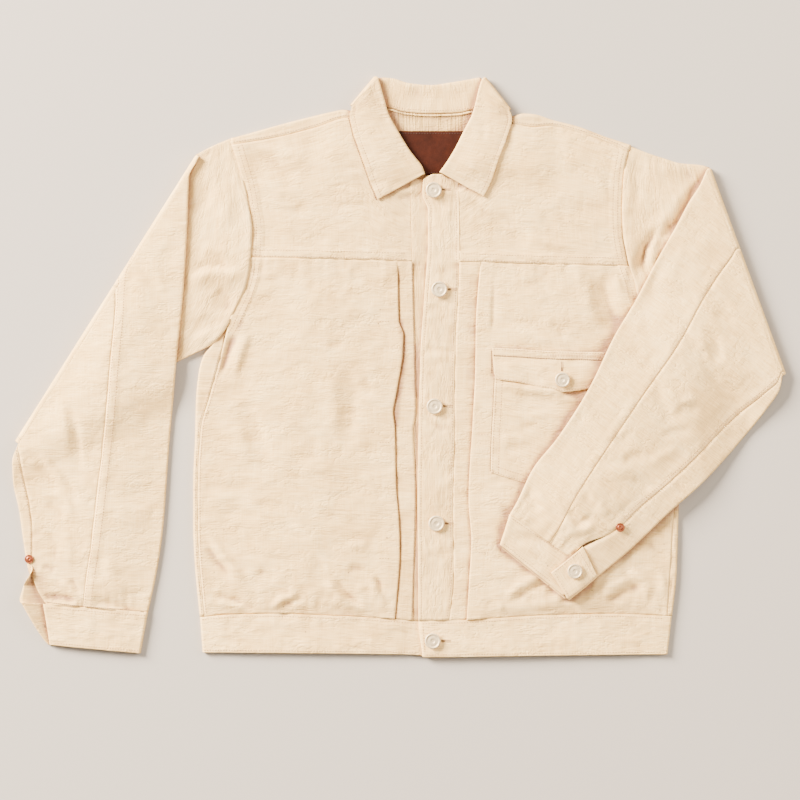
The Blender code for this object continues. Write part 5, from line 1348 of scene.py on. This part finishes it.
def sleeve_spots(right, ring, armhole, s, h, width, tall, crease):
    """Points of a ring's section, s along it and h through it, on the jacket."""
    a, b = ring["ends"]
    t = s / width
    spots = a + (b - a) * t[:, None]
    if ring["curve"]:
        chord = armhole[0] + (armhole[-1] - armhole[0]) * t[:, None]
        spots = spots + (walk(armhole, np.clip(t, 0, 1)) - chord) * ring["curve"]
    if ring["zone"] == "head":
        spots[:, 0] += (-1 if a[0] < 0 else 1) * ARMHOLE_GAP * ring["curve"]
        return np.column_stack([spots, h + crease(spots)])
    if ring["zone"] == "bend":
        angle = math.radians(ring["angle"])
        spots = spots + ring["out"] * math.sin(angle) * (FOLD_RADIUS - h)[:, None]
        return np.column_stack([spots, FOLD_RADIUS - (FOLD_RADIUS - h) * math.cos(angle)])
    start = 2 * FOLD_RADIUS - HEAD_TALL
    low = start + (support(right, spots[:, 0], spots[:, 1]) - start) * smooth(ring["share"] / 0.2)
    return np.column_stack([spots, low + tall - h + crease(spots)])


def stretch(s, width, half, lean):
    """Widens the rolled edges where a ring crosses its edge at a slant."""
    first, last = lean
    inside = half * first + (s - half) * (width - half * (first + last)) / (width - 2 * half)
    return np.where(s < half, s * first, np.where(s > width - half, width - (width - s) * last, inside))


TAIL, TURN, TOP, FLAT, UNDER = 6, 8, 68, 24, 44


def ring_section(right, ring, armhole, seams, heights):
    """Both faces of the top sleeve and of the under sleeve on one ring."""
    a, b = ring["ends"]
    width = np.linalg.norm(b - a)
    head, arm = ring["zone"] == "head", ring["zone"] == "arm"
    edge = SIDE_TALL + (HEAD_TALL - SIDE_TALL) * ring["share"] if head else HEAD_TALL
    puff = 2.2 * (1 - ring["share"]) if head else 5.0 * smooth(ring["share"] / 0.25) if arm else 0.0
    if arm:
        close = smooth((ring["share"] - 0.94) / 0.06)
        edge, puff = edge + 0.7 * close, puff * (1 - (0.62 if right else 0.88) * close)
    middle, half = CLOTH / 2, edge / 2

    def tall(s):
        return edge + puff * np.sin(math.pi * np.clip((s - half) / (width - edge), 0, 1)) ** 1.6

    slit = min(seams["slit"] * width, width - half - 0.6)
    mid = seams["middle"] * width
    tail = max(width - half - slit - SEAM / 2, 0.5) + seams["flare"]
    top_s = np.linspace(width - half, half, TOP)
    turn = 180 * (1 - seams["open"])
    far = arc((width - half, half), half - middle, 90, -turn - 1e-6, TURN)
    heading = math.radians(-turn)
    tail_end = far[-1] + np.array([math.cos(heading), math.sin(heading)]) * np.linspace(tail, 0, TAIL + 1)[:-1, None]
    flats = half + (mid - half) * np.linspace(0, 1, FLAT + 1)[1:] - SEAM / 2 * (np.arange(FLAT) == FLAT - 1)
    path = np.vstack([tail_end, far[::-1], joined(top_s, tall(top_s) - middle),
                      arc((half, half), half - middle, 90, 180, TURN),
                      joined(flats, middle)])
    upper = np.repeat([0, 1.0, 0], [TAIL + TURN, TOP, TURN + FLAT])
    lower = np.repeat([float(turn > 170), 0, 1.0], [TAIL, TURN + TOP + TURN, FLAT])
    under_s = np.linspace(mid + SEAM / 2, slit - SEAM / 2 - seams["gap"], UNDER)
    under = joined(under_s, middle)
    made = []
    for section, shown in ((path, upper if head else lower), (under, np.full(UNDER, 0.0 if head else 1.0))):
        pair = []
        away = np.minimum(section[:, 0] - half, width - half - section[:, 0])
        window = shown * smooth(away / 8 + 0.05)
        for side in ribbon(section, CLOTH):
            s = stretch(side[:, 0], width, half, seams["lean"])
            pair.append(sleeve_spots(right, ring, armhole, s, side[:, 1], width, tall(s),
                                     lambda spots: heights(ring, spots) * window))
        made.append(pair)
    return made


SLEEVE_CREASES = {
    (True, "head"): relief(bolder(HEAD_RIGHT_CREASES, 2.2)
                           + crinkles(63, 90, (-400, 260, -205, 545), 8, 30, 2.6, 0.45), -460, 210, -180, 560),
    (True, "arm"): relief(bolder(ARM_RIGHT_CREASES, 1.7)
                          + crinkles(64, 150, (-446, 50, -260, 500), 4, 32, 2.6, 0.45), -460, 30, -240, 560),
    (False, "head"): relief(bolder(HEAD_LEFT_CREASES, 1.8) + DEEP_LEFT
                            + crinkles(65, 60, (200, 340, 372, 540), -8, 26, 2.6, 0.45), 190, 280, 390, 550),
    (False, "arm"): relief(bolder(ARM_LEFT_CREASES, 1.9)
                           + crinkles(66, 150, (75, 90, 372, 500), 40, 32, 2.6, 0.45), 60, 60, 390, 540),
}


def seam_gap(points, x, y):
    """Distance in plan from a seam, below zero on the right of its run."""
    seam = walk(points, np.linspace(0, 1, 90))
    run = np.gradient(seam, axis=0)
    dx, dy = x[:, None] - seam[None, :, 0], y[:, None] - seam[None, :, 1]
    nearest = np.hypot(dx, dy).argmin(axis=1)
    rows = np.arange(len(x))
    run, dx, dy = run[nearest], dx[rows, nearest], dy[rows, nearest]
    return (run[:, 0] * dy - run[:, 1] * dx) / np.linalg.norm(run, axis=1)


def sleeve_heights(right):
    """Heights of the creases, seams and puckers on the visible side of a sleeve."""

    def heights(ring, spots):
        x, y = spots[:, 0], spots[:, 1]
        rough = 0.25 * unevenness(x, y, 10, 71) + 0.45 * unevenness(x, y, 28, 72)
        raised = SLEEVE_CREASES[right, ring["zone"]]
        if ring["zone"] == "head":
            away = np.abs(x - line(ARMHOLE[right], np.clip(y, 331, 549)))
            return rough + raised(x, y) + puckers(x, y, away, 73, 0.5, 6) + 0.5 * bell(away - 5, 4.0)
        fade = smooth(ring["share"] / 0.12)
        inner, outer = (seam_gap(SLEEVE[right][seam], x, y) for seam in ("middle", "slit"))
        seams = -0.45 * bell(inner, 1.2) - 0.45 * bell(outer, 1.2)
        felled = ((0.6, inner, 9), (0.4, -outer, 8)) if right else ((0.35, -inner, 8), (0.35, -outer, 8))
        for tall, gap, wide in felled:
            seams += tall * smooth(gap + 0.5) * (1 - smooth((gap - wide) / 2.0))
        ticks = puckers(x, y, np.abs(inner), 74, 0.5, 5) + puckers(x, y, np.abs(outer), 75, 0.45, 5)
        end = (1 - ring["share"]) * (480 if right else 400)
        along, down = (x, y) if right else (
            LEFT_DOWN[1] * x - LEFT_DOWN[0] * y, LEFT_DOWN[0] * x + LEFT_DOWN[1] * y)
        gathers = 1.0 * unevenness(along, down / 7, 4.5, 76) + 0.6 * unevenness(along, down / 4, 9, 77)
        return (rough + raised(x, y) + seams + ticks) * fade + gathers * bell(end, 26) * smooth(end / 5)

    return heights


for right, side in SIDES.items():
    rings, armhole = sleeve_rings(right)
    heights = sleeve_heights(right)
    tables = SLEEVE[right]["middle"], SLEEVE[right]["slit"]
    bend = max(k for k, ring in enumerate(rings) if ring["zone"] == "bend")
    at_fold = [seam_share(rings[bend], table) for table in tables]
    arms = rings[bend + 1:]
    shares = [evened([at_fold[k]] * 4 + [seam_share(ring, table) for ring in arms])[4:]
              for k, table in enumerate(tables)]
    leans = []
    for index, ring in enumerate(arms):
        before, after = rings[bend + max(index - 3, 0)]["ends"], arms[min(index + 4, len(arms) - 1)]["ends"]
        direction = ring["ends"][1] - ring["ends"][0]
        direction = direction / np.linalg.norm(direction)
        pair = []
        for k in range(2):
            run = after[k] - before[k]
            run = run / np.linalg.norm(run)
            pair.append(min(1.9, 1 / max(0.3, abs(run[0] * direction[1] - run[1] * direction[0]))))
        leans.append(pair)
    leans = np.stack([evened(column, 15) for column in np.array(leans).T], axis=1)
    top, under = [[], []], [[], []]
    for k, ring in enumerate(rings):
        seams = dict(open=0.0, gap=0.0, lean=(1, 1), flare=0.0)
        if ring["zone"] == "arm":
            index = k - bend - 1
            low = smooth((ring["share"] - 0.84) / 0.16)
            parted = float(smooth((ring["share"] - 0.70) / 0.12)) if right else 0.0
            flare = float(bend_through(ring["share"], [0, 0.70, 0.76, 0.84, 0.92, 1], [0, 0, 5, 13, 19, 22]))
            near = smooth(ring["share"] / 0.08)
            lean = 1 + (leans[index] - 1) * near
            seams = dict(middle=shares[0][index], slit=shares[1][index], open=0.885 * parted,
                         flare=flare if right else 0.0, gap=0.0 if right else 3.0 * math.sin(math.pi * low),
                         lean=lean)
        else:
            seams["middle"] = 0.3 + (at_fold[0] - 0.3) * ring["share"]
            seams["slit"] = 0.93 + (at_fold[1] - 0.93) * ring["share"]
        for pair, made in zip((top, under), ring_section(right, ring, armhole, seams, heights)):
            pair[0].append(made[0])
            pair[1].append(made[1])
    for part, pair in (("top", top), ("under", under)):
        spots = spread(np.array(pair[0]))
        in_arm = np.array([ring["zone"] == "arm" for ring in rings])
        spots[in_arm] = np.array(pair[0])[in_arm][..., :2] @ (np.eye(2) if right else LEFT_TWILL)
        made = cloth(f"cloth_sleeve_{side}_{part}", *pair, spots=spots)
        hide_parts(f"sleeve_{side}_{part}")


# --- the cuffs: doubled bands round the sleeve ends. The right one hangs open where its slit is.
# The left one is buttoned, its end lapping over as a tab beside the slit.
CUFF_TALL = 5.6
CUFF_UPPER, CUFF_ROLL, CUFF_LOWER, TAB_TURN, CUFF_TAB = 46, 10, 45, 12, 23
CUFF_LEFT_CREASES = strokes(
    (5, -1.0, 80, 135, 100, 127, 120, 123, 145, 103), (5, 0.9, 88, 121, 112, 111, 132, 97),
    (4, -0.8, 110, 135, 120, 129))
cuff_creases = relief(bolder(CUFF_LEFT_CREASES, 2.0) + crinkles(83, 40, (72, 65, 172, 145), -34, 20, 3.2, 0.45)
                      + crinkles(84, 40, (-412, 4, -305, 52), 4, 20, 3.2, 0.45), -450, -10, 190, 170)
for right, side in SIDES.items():
    if right:
        rows = [((-303, 46.8), (-414, 55.4)), ((-307, 24), (-410, 32)), ((-311, 3), (-407, 12))]
    else:
        rows = [((80.2, 151), (174.4, 85.8)), ((75, 134), (158, 71.5)), ((70, 119), (143.5, 60))]
    half = CUFF_TALL / 2
    roll = half - DOUBLE / 2
    over = DOUBLE + LAYER_REST
    faces = [[], []]
    for v in np.concatenate([[0, 0.015], np.linspace(0.05, 0.95, 20), [0.985, 1]]):
        a, b = [np.array([bend_through(v, [0, 0.5, 1], [row[end][k] for row in rows]) for k in range(2)])
                for end in range(2)]
        width = np.linalg.norm(b - a)
        rounded = 0.4 * (1 - smooth(min(v, 1 - v) / 0.04))
        if right:
            upper = np.linspace(width, half, 50)
            reach = width + 20.5 * (1 - v) ** 0.85 + 2.2
            lower = np.linspace(half, reach, 60)[1:]
            path = np.vstack([
                joined(upper, CUFF_TALL - DOUBLE / 2 + 1.6 * np.sin(math.pi * (upper - half) / width)),
                arc((half, half), roll, 90, 180, CUFF_ROLL),
                joined(lower, DOUBLE / 2 + 0.36 * np.maximum(lower - width + 1, 0))])
            shown = np.repeat([1.0, 0], [50, CUFF_ROLL + 59])
        else:
            upper = np.linspace(width - 8, half, CUFF_UPPER)
            lower = np.linspace(half, width - half - over / 2, CUFF_LOWER + 1)[1:]
            tab = np.linspace(width - half - over / 2, width - 40 + 4 * v, CUFF_TAB + 1)[1:]
            path = np.vstack([
                joined(upper, CUFF_TALL - DOUBLE / 2),
                arc((half, half), roll, 90, 180, CUFF_ROLL),
                joined(lower, DOUBLE / 2),
                arc((width - half - over / 2, half + over / 2), roll + over / 2, -90, 180, TAB_TURN),
                joined(tab, CUFF_TALL - DOUBLE / 2 + over)])
            shown = np.repeat([1.0, 0, 1.0], [CUFF_UPPER, CUFF_ROLL + CUFF_LOWER + TAB_TURN, CUFF_TAB])
        wall = ribbon(path, DOUBLE)
        for face, edge in zip(faces, wall):
            s, h = edge.T
            spots = a + (b - a) * (s / width)[:, None]
            x, y = spots.T
            low = 0 if right else support(False, x, y)
            if not right:
                k = np.arange(len(s))
                tip = np.where(k >= len(s) - CUFF_TAB, np.clip((width - half - s) / 36, 0, 1), 0)[:, None]
                spots = spots + tip * (np.array([15.8, 8.2]) * (1 - v) + np.array([9, 7.4]) * v)
                low = low + 1.6 * tip[:, 0] * (1 - v)
                below = ((k >= CUFF_UPPER + CUFF_ROLL) & (k < CUFF_UPPER + CUFF_ROLL + CUFF_LOWER))[:, None]
                spots = spots + below * np.array([-1.1, -1.6]) * smooth((v - 0.7) / 0.3)
                x, y = spots.T
            window = shown * smooth((path[:, 0] - half) / 6)
            fine = cuff_creases(x, y) + 0.25 * unevenness(x, y, 8, 85) + 0.4 * unevenness(x, y, 24, 86)
            face.append(np.column_stack([spots, low + h + fine * window - rounded * shown]))
    cuff = cloth(f"cloth_cuff_{side}", *faces)
    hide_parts(f"cuff_{side}")

WALKED = np.linspace(0, 1, 150)
sew("stitches_sleeve_right", ["cloth_sleeve_right_under", "cloth_sleeve_right_top"], rows_beside(
    (walk(SLEEVE[True]["middle"], WALKED), 1.5, 8.2), (walk(SLEEVE[True]["slit"], WALKED[:125]), -1.6)))
sew("stitches_sleeve_left", ["cloth_sleeve_left_under", "cloth_sleeve_left_top"], rows_beside(
    (walk(SLEEVE[False]["middle"], WALKED), -1.5), (walk(SLEEVE[False]["slit"], WALKED[:120]), -1.5, -4.6)))
sew("stitches_cuffs", ["cloth_cuff_right", "cloth_cuff_left"], [
    [(-306, 43.2), (-411, 51.6)], [(-313, 5.9), (-405, 14.4)], [(82.5, 146.6), (141, 106)], [(73.5, 120), (124, 79.5)],
    [(153.6, 111.4), (169.8, 85)], [(169, 83.2), (144, 63.6)], [(142.6, 64), (127.6, 89.6)],
    [(128, 90.4), (153, 110.8)]])
# Dark lines beside the placket on the front strip and along the right cuff's upper seam are painted shade.
sew("painted_shade_front_strip", ["cloth_front_right", "cloth_placket_left", "cloth_placket_right"], [
    [(-22.7, 416), (-20.9, 325), (-19.6, 272), (-18.8, 219), (-19.6, 166), (-22.2, 46)]], radius=0.42, **SEAM_SHADE)
sew("painted_shade_cuff_seam", ["cloth_sleeve_right_under", "cloth_sleeve_right_top", "cloth_cuff_right"], [
    [(-307, 47), (-339.5, 50.4), (-372, 53), (-410, 57.2)]], radius=0.5, **SEAM_SHADE)


# --- the buttonholes: a slit bound with close upright stitches beside each front button and above the pocket's.
# Where the button's shank goes through, the gaping slit is a dark sheet on the cloth: painted shade.
slit_shade = plain_finish("shade_in_the_slit", (0.10, 0.058, 0.028), 0.9)[0]
HOLE_SIDES = 16
AROUND = np.linspace(0, 2 * math.pi, HOLE_SIDES, endpoint=False)
HOLED = ["cloth_placket_left", "cloth_waistband", "cloth_pocket_flap"]
holes = [(-0.2, 494.8, 0), (5.7, 389.1, 0), (1.3, 265.3, 0), (2.9, 141, 0), (-0.6, 16.4, 0), (135.6, 293.5, 90)]
bound, points = [], []
for x, y, turn in holes:
    ahead = np.array([math.cos(math.radians(turn)), math.sin(math.radians(turn))])
    aside = np.array([-ahead[1], ahead[0]])
    for out in np.arange(9.0, 18.6, 0.8):
        for off in (0.25, -1.7):
            spot = np.array([x, y]) + ahead * out + aside * off
            bound.append([tuple(spot), tuple(spot + aside * 1.45)])
    ring = []
    for t in AROUND:
        spot = np.array([x, y]) + ahead * (10.7 + 2.3 * math.cos(t)) + aside * 0.6 * math.sin(t)
        level = drop(HOLED, *spot)
        ring.append((*spot, (level or 8.0) + 0.34))
    points += ring
# A dark oval on the right cuff's open end is painted shade too.
points += [(-411.6 + 0.7 * math.cos(t), 32 + 1.9 * math.sin(t), 8.2) for t in AROUND]
faces = [list(range(k, k + HOLE_SIDES)) for k in range(0, len(points), HOLE_SIDES)]
slits = mesh_piece("painted_shade_buttonhole_slits", points, faces, slit_shade)
# A dark line runs on along each slit: painted shade.
sew("painted_shade_buttonhole_lines", HOLED, [
    [(x + 11, y), (x + 19.2, y)] if turn == 0 else [(x, y + 11), (x, y + 19.2)] for x, y, turn in holes],
    radius=0.26, finish=seam_shade, pitch=1.6, long=1.65)
sew("stitches_buttonholes", HOLED, bound, radius=0.34, pitch=1.4, long=1.3)


# --- the fastenings: seven shank buttons pressed from sheet metal, silver-white, and two copper rivets.
# Each front has a rolled rim, a groove and a low boss with a dimple; nothing is stamped on it.
button_metal, tree, shader, _, wear = clouded_finish("silver_white_metal", 420.0, 4.0, (0.3, (0.62, 0.50, 0.31)),
                                                     (0.7, (0.82, 0.69, 0.45)), 0.5)
dull = node(tree, "MapRange", Value=wear, To_Min=0.42, To_Max=0.66)
tree.links.new(dull.outputs[0], shader.inputs["Roughness"])
shader.inputs["Metallic"].default_value = 0.45
rivet_copper, _, shader, _, _ = clouded_finish("worn_copper", 600.0, 3.0, (0.3, (0.17, 0.040, 0.014)),
                                               (0.7, (0.33, 0.090, 0.034)), 0.36)
shader.inputs["Metallic"].default_value = 0.5


def turned(name, x, y, z, profile, finish, solid, sides=48):
    """A lathe form on an upright axis: profile is (radius, height) from the bottom centre to the top."""
    profile = np.asarray(profile, float)
    angles = np.linspace(0, 2 * math.pi, sides, endpoint=False)
    rings = [np.column_stack([x + r * np.cos(angles), y + r * np.sin(angles), np.full(sides, z + h)])
             for r, h in profile[1:-1]]
    points = np.vstack([[[x, y, z + profile[0][1]]]] + rings + [[[x, y, z + profile[-1][1]]]])
    faces = [[0, 1 + (k + 1) % sides, 1 + k] for k in range(sides)]
    for ring in range(len(rings) - 1):
        for k in range(sides):
            a, b = 1 + ring * sides + k, 1 + ring * sides + (k + 1) % sides
            faces.append([a, b, b + sides, a + sides])
    last = 1 + (len(rings) - 1) * sides
    faces += [[last + k, last + (k + 1) % sides, len(points) - 1] for k in range(sides)]
    made = mesh_piece(name, points, faces, finish)
    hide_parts(solid)
    return made


BUTTON = [(0, 0), (0.5, 0), (0.45, 1.3), (0.8, 1.6), (0.97, 2.0), (1, 2.5), (0.985, 3.1), (0.93, 3.6), (0.86, 3.8),
          (0.79, 3.62), (0.75, 3.25), (0.70, 3.05), (0.62, 3.12), (0.45, 3.3), (0.32, 3.4), (0.27, 3.3), (0.22, 2.95),
          (0.16, 2.75), (0.08, 2.85), (0, 2.9)]
RIVET = [(0, 0), (0.98, 0), (1, 0.3), (0.96, 0.65), (0.85, 0.8), (0.72, 0.5), (0.6, 0.45), (0.5, 1.1), (0.35, 1.25),
         (0.2, 1.1), (0.1, 0.75), (0, 0.7)]
for solids, form, named, finish, slot in (
    (("button_1", "button_2", "button_3", "button_4", "button_5", "button_pocket", "button_cuff"), BUTTON, "metal",
     button_metal, "button_metal"),
    (("rivet_right", "rivet_left"), RIVET, "copper", rivet_copper, "rivet_copper"),
):
    for solid in solids:
        low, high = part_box(solid)
        x, y = ((low[k] + high[k]) / 2 * MM - SHIFT[k] for k in (0, 1))
        r, z = (high[0] - low[0]) / 2 * MM, low[2] * MM
        turned(f"{named}_{solid}", x, y, z, [(r * wide, tall) for wide, tall in form], finish, solid)


# --- the shade between folds: where a layer lies in a hollow or beside a taller one, less light reaches it.
# Each piece carries how far it lies below the cloth around it, and its material is darker and warmer there.
SHADE_CELL = 1.5
# Painted shading laid evenly over whole pieces: above zero darker, below zero lighter, so the collar and yokes read
# darker than the waistband.
PIECE_PAINTED_SHADING = {"cloth_collar": 0.24, "cloth_yoke_right": 0.17, "cloth_back_yoke": 0.14, "cloth_sleeve_left_top": 0.08,
              "cloth_waistband": -0.25, "cloth_front_left": -0.1}
# Each soft shade: half width, depth, the line that it follows and the pieces that it falls on.
SOFT_SHADES = [
    (3.96, 0.95, [(-36, 354.6), (-32.3, 330.2), (-33.4, 298.4), (-37.1, 271.9), (-39.8, 245.4)],
     ("cloth_front_right",)),
    (2.64, 0.95, [(-19.6, 330.2), (-18.6, 309), (-18.6, 277.2)],
     ("cloth_front_right", "cloth_placket_right")),
    (4.4, 0.57, [(-204.6, 354.6), (-210.9, 337.6), (-219.4, 314.3)],
     ("cloth_front_right",)),
    (9.9, 0.42, [(-220.5, 390.6), (-217.3, 372.6), (-222.6, 354.6)],
     ("cloth_sleeve_right_top",)),
    (6.6, 0.57, [(195, 354.6), (176, 322.8), (154.8, 280.4), (133.6, 242.2), (114.5, 210.4), (95.4, 180.7),
                 (77.4, 151.1)],
     ("cloth_front_left", "cloth_pocket", "cloth_pocket_flap")),
    (5.5, 0.66, [(73.1, 160.6), (68.9, 136.2), (73.1, 118.2)],
     ("cloth_front_left",)),
    (4.95, 0.57, [(38.2, 393.8), (39.2, 346.1), (37.1, 282.5)],
     ("cloth_front_left",)),
    (6.6, 0.47, [(243.8, 430.9), (234.3, 407.6), (229, 386.4)],
     ("cloth_sleeve_left_top",)),
]
SHADE_GRID = (440, 573)
SHADE_CORNER = (-455, -20)
SHADE_LEAST = 0.12
highest = np.zeros(SHADE_GRID)


def cells(points):
    """Row and column of each point in the lattice of heights."""
    return (points[:, 1::-1] - SHADE_CORNER[::-1]).T / SHADE_CELL


def softened(z, span):
    """A lattice of heights, each averaged with its neighbours both ways."""
    for axis in (0, 1, 0, 1):
        z = np.pad(z, [(span, span) if k == axis else (0, 0) for k in (0, 1)], mode="edge")
        run = np.cumsum(np.insert(z, 0, 0, axis=axis), axis=axis)
        far = np.take(run, np.arange(2 * span + 1, run.shape[axis]), axis=axis)
        z = (far - np.take(run, np.arange(run.shape[axis] - 2 * span - 1), axis=axis)) / (2 * span + 1)
    return z


for points in placed_points.values():
    i, j = np.round(cells(points)).astype(int)
    np.maximum.at(highest, (i.clip(0, SHADE_GRID[0] - 1), j.clip(0, SHADE_GRID[1] - 1)), points[:, 2])
covered = highest > 0
share = softened(covered * 1.0, 1)
highest = np.where(~covered & (share > SHADE_LEAST), softened(highest, 1) / np.maximum(share, SHADE_LEAST), highest)
# Each shade: its weight, the heights around it, how far a layer may lie below them unshaded, the depth that
# shades it fully, and the least that it may be, as ridges are lighter.
near_by, wide_by, far_by = softened(highest, 1), softened(highest, 3), softened(highest, 7)
SHADES = ((0.2, near_by, 0, 0.6, -1), (0.42, wide_by, 0, 1.2, -0.8), (0.24, far_by, 0, 3.5, -0.5),
          (0.32, near_by, 0.7, 1.2, 0))
for name, points in placed_points.items():
    at = cells(points)
    z = points[:, 2]
    painted_shading = 0
    for weight, lattice, step, deep, least in SHADES:
        painted_shading = painted_shading + weight * np.clip((read(lattice, *at) - z - step) / deep, least, 1)
    # The right sleeve's slit is open near its end, and the cloth inside it is in the dark.
    parted = np.clip((-407 - points[:, 0]) / 8, 0, 1) * np.clip((96 - points[:, 1]) / 14, 0, 1)
    painted_shading = painted_shading + 0.35 * parted
    for wide, dark, spots, shaded_pieces in SOFT_SHADES:
        if name in shaded_pieces:
            away = np.min([np.hypot(points[:, 0] - x, points[:, 1] - y) for x, y in even_steps(spots, 1.0)], axis=0)
            painted_shading = painted_shading + dark * bell(away, wide)
    # Only the faces that look up are shaded.
    mesh = bpy.data.objects[name].data
    facing = np.empty(len(points) * 3)
    mesh.vertices.foreach_get("normal", facing)
    painted_shading = (painted_shading + PIECE_PAINTED_SHADING.get(name, 0)) * np.clip(facing[2::3] * 2 + 0.7, 0, 1)
    # The sum is kept on the points and painted into the cloth's colour: shade above zero, a highlight on ridges below.
    mesh.attributes.new("painted_shading", "FLOAT", "POINT").data.foreach_set(
        "value", np.clip(painted_shading, -1, 0.8) * np.clip(z - 0.4, 0, 1))
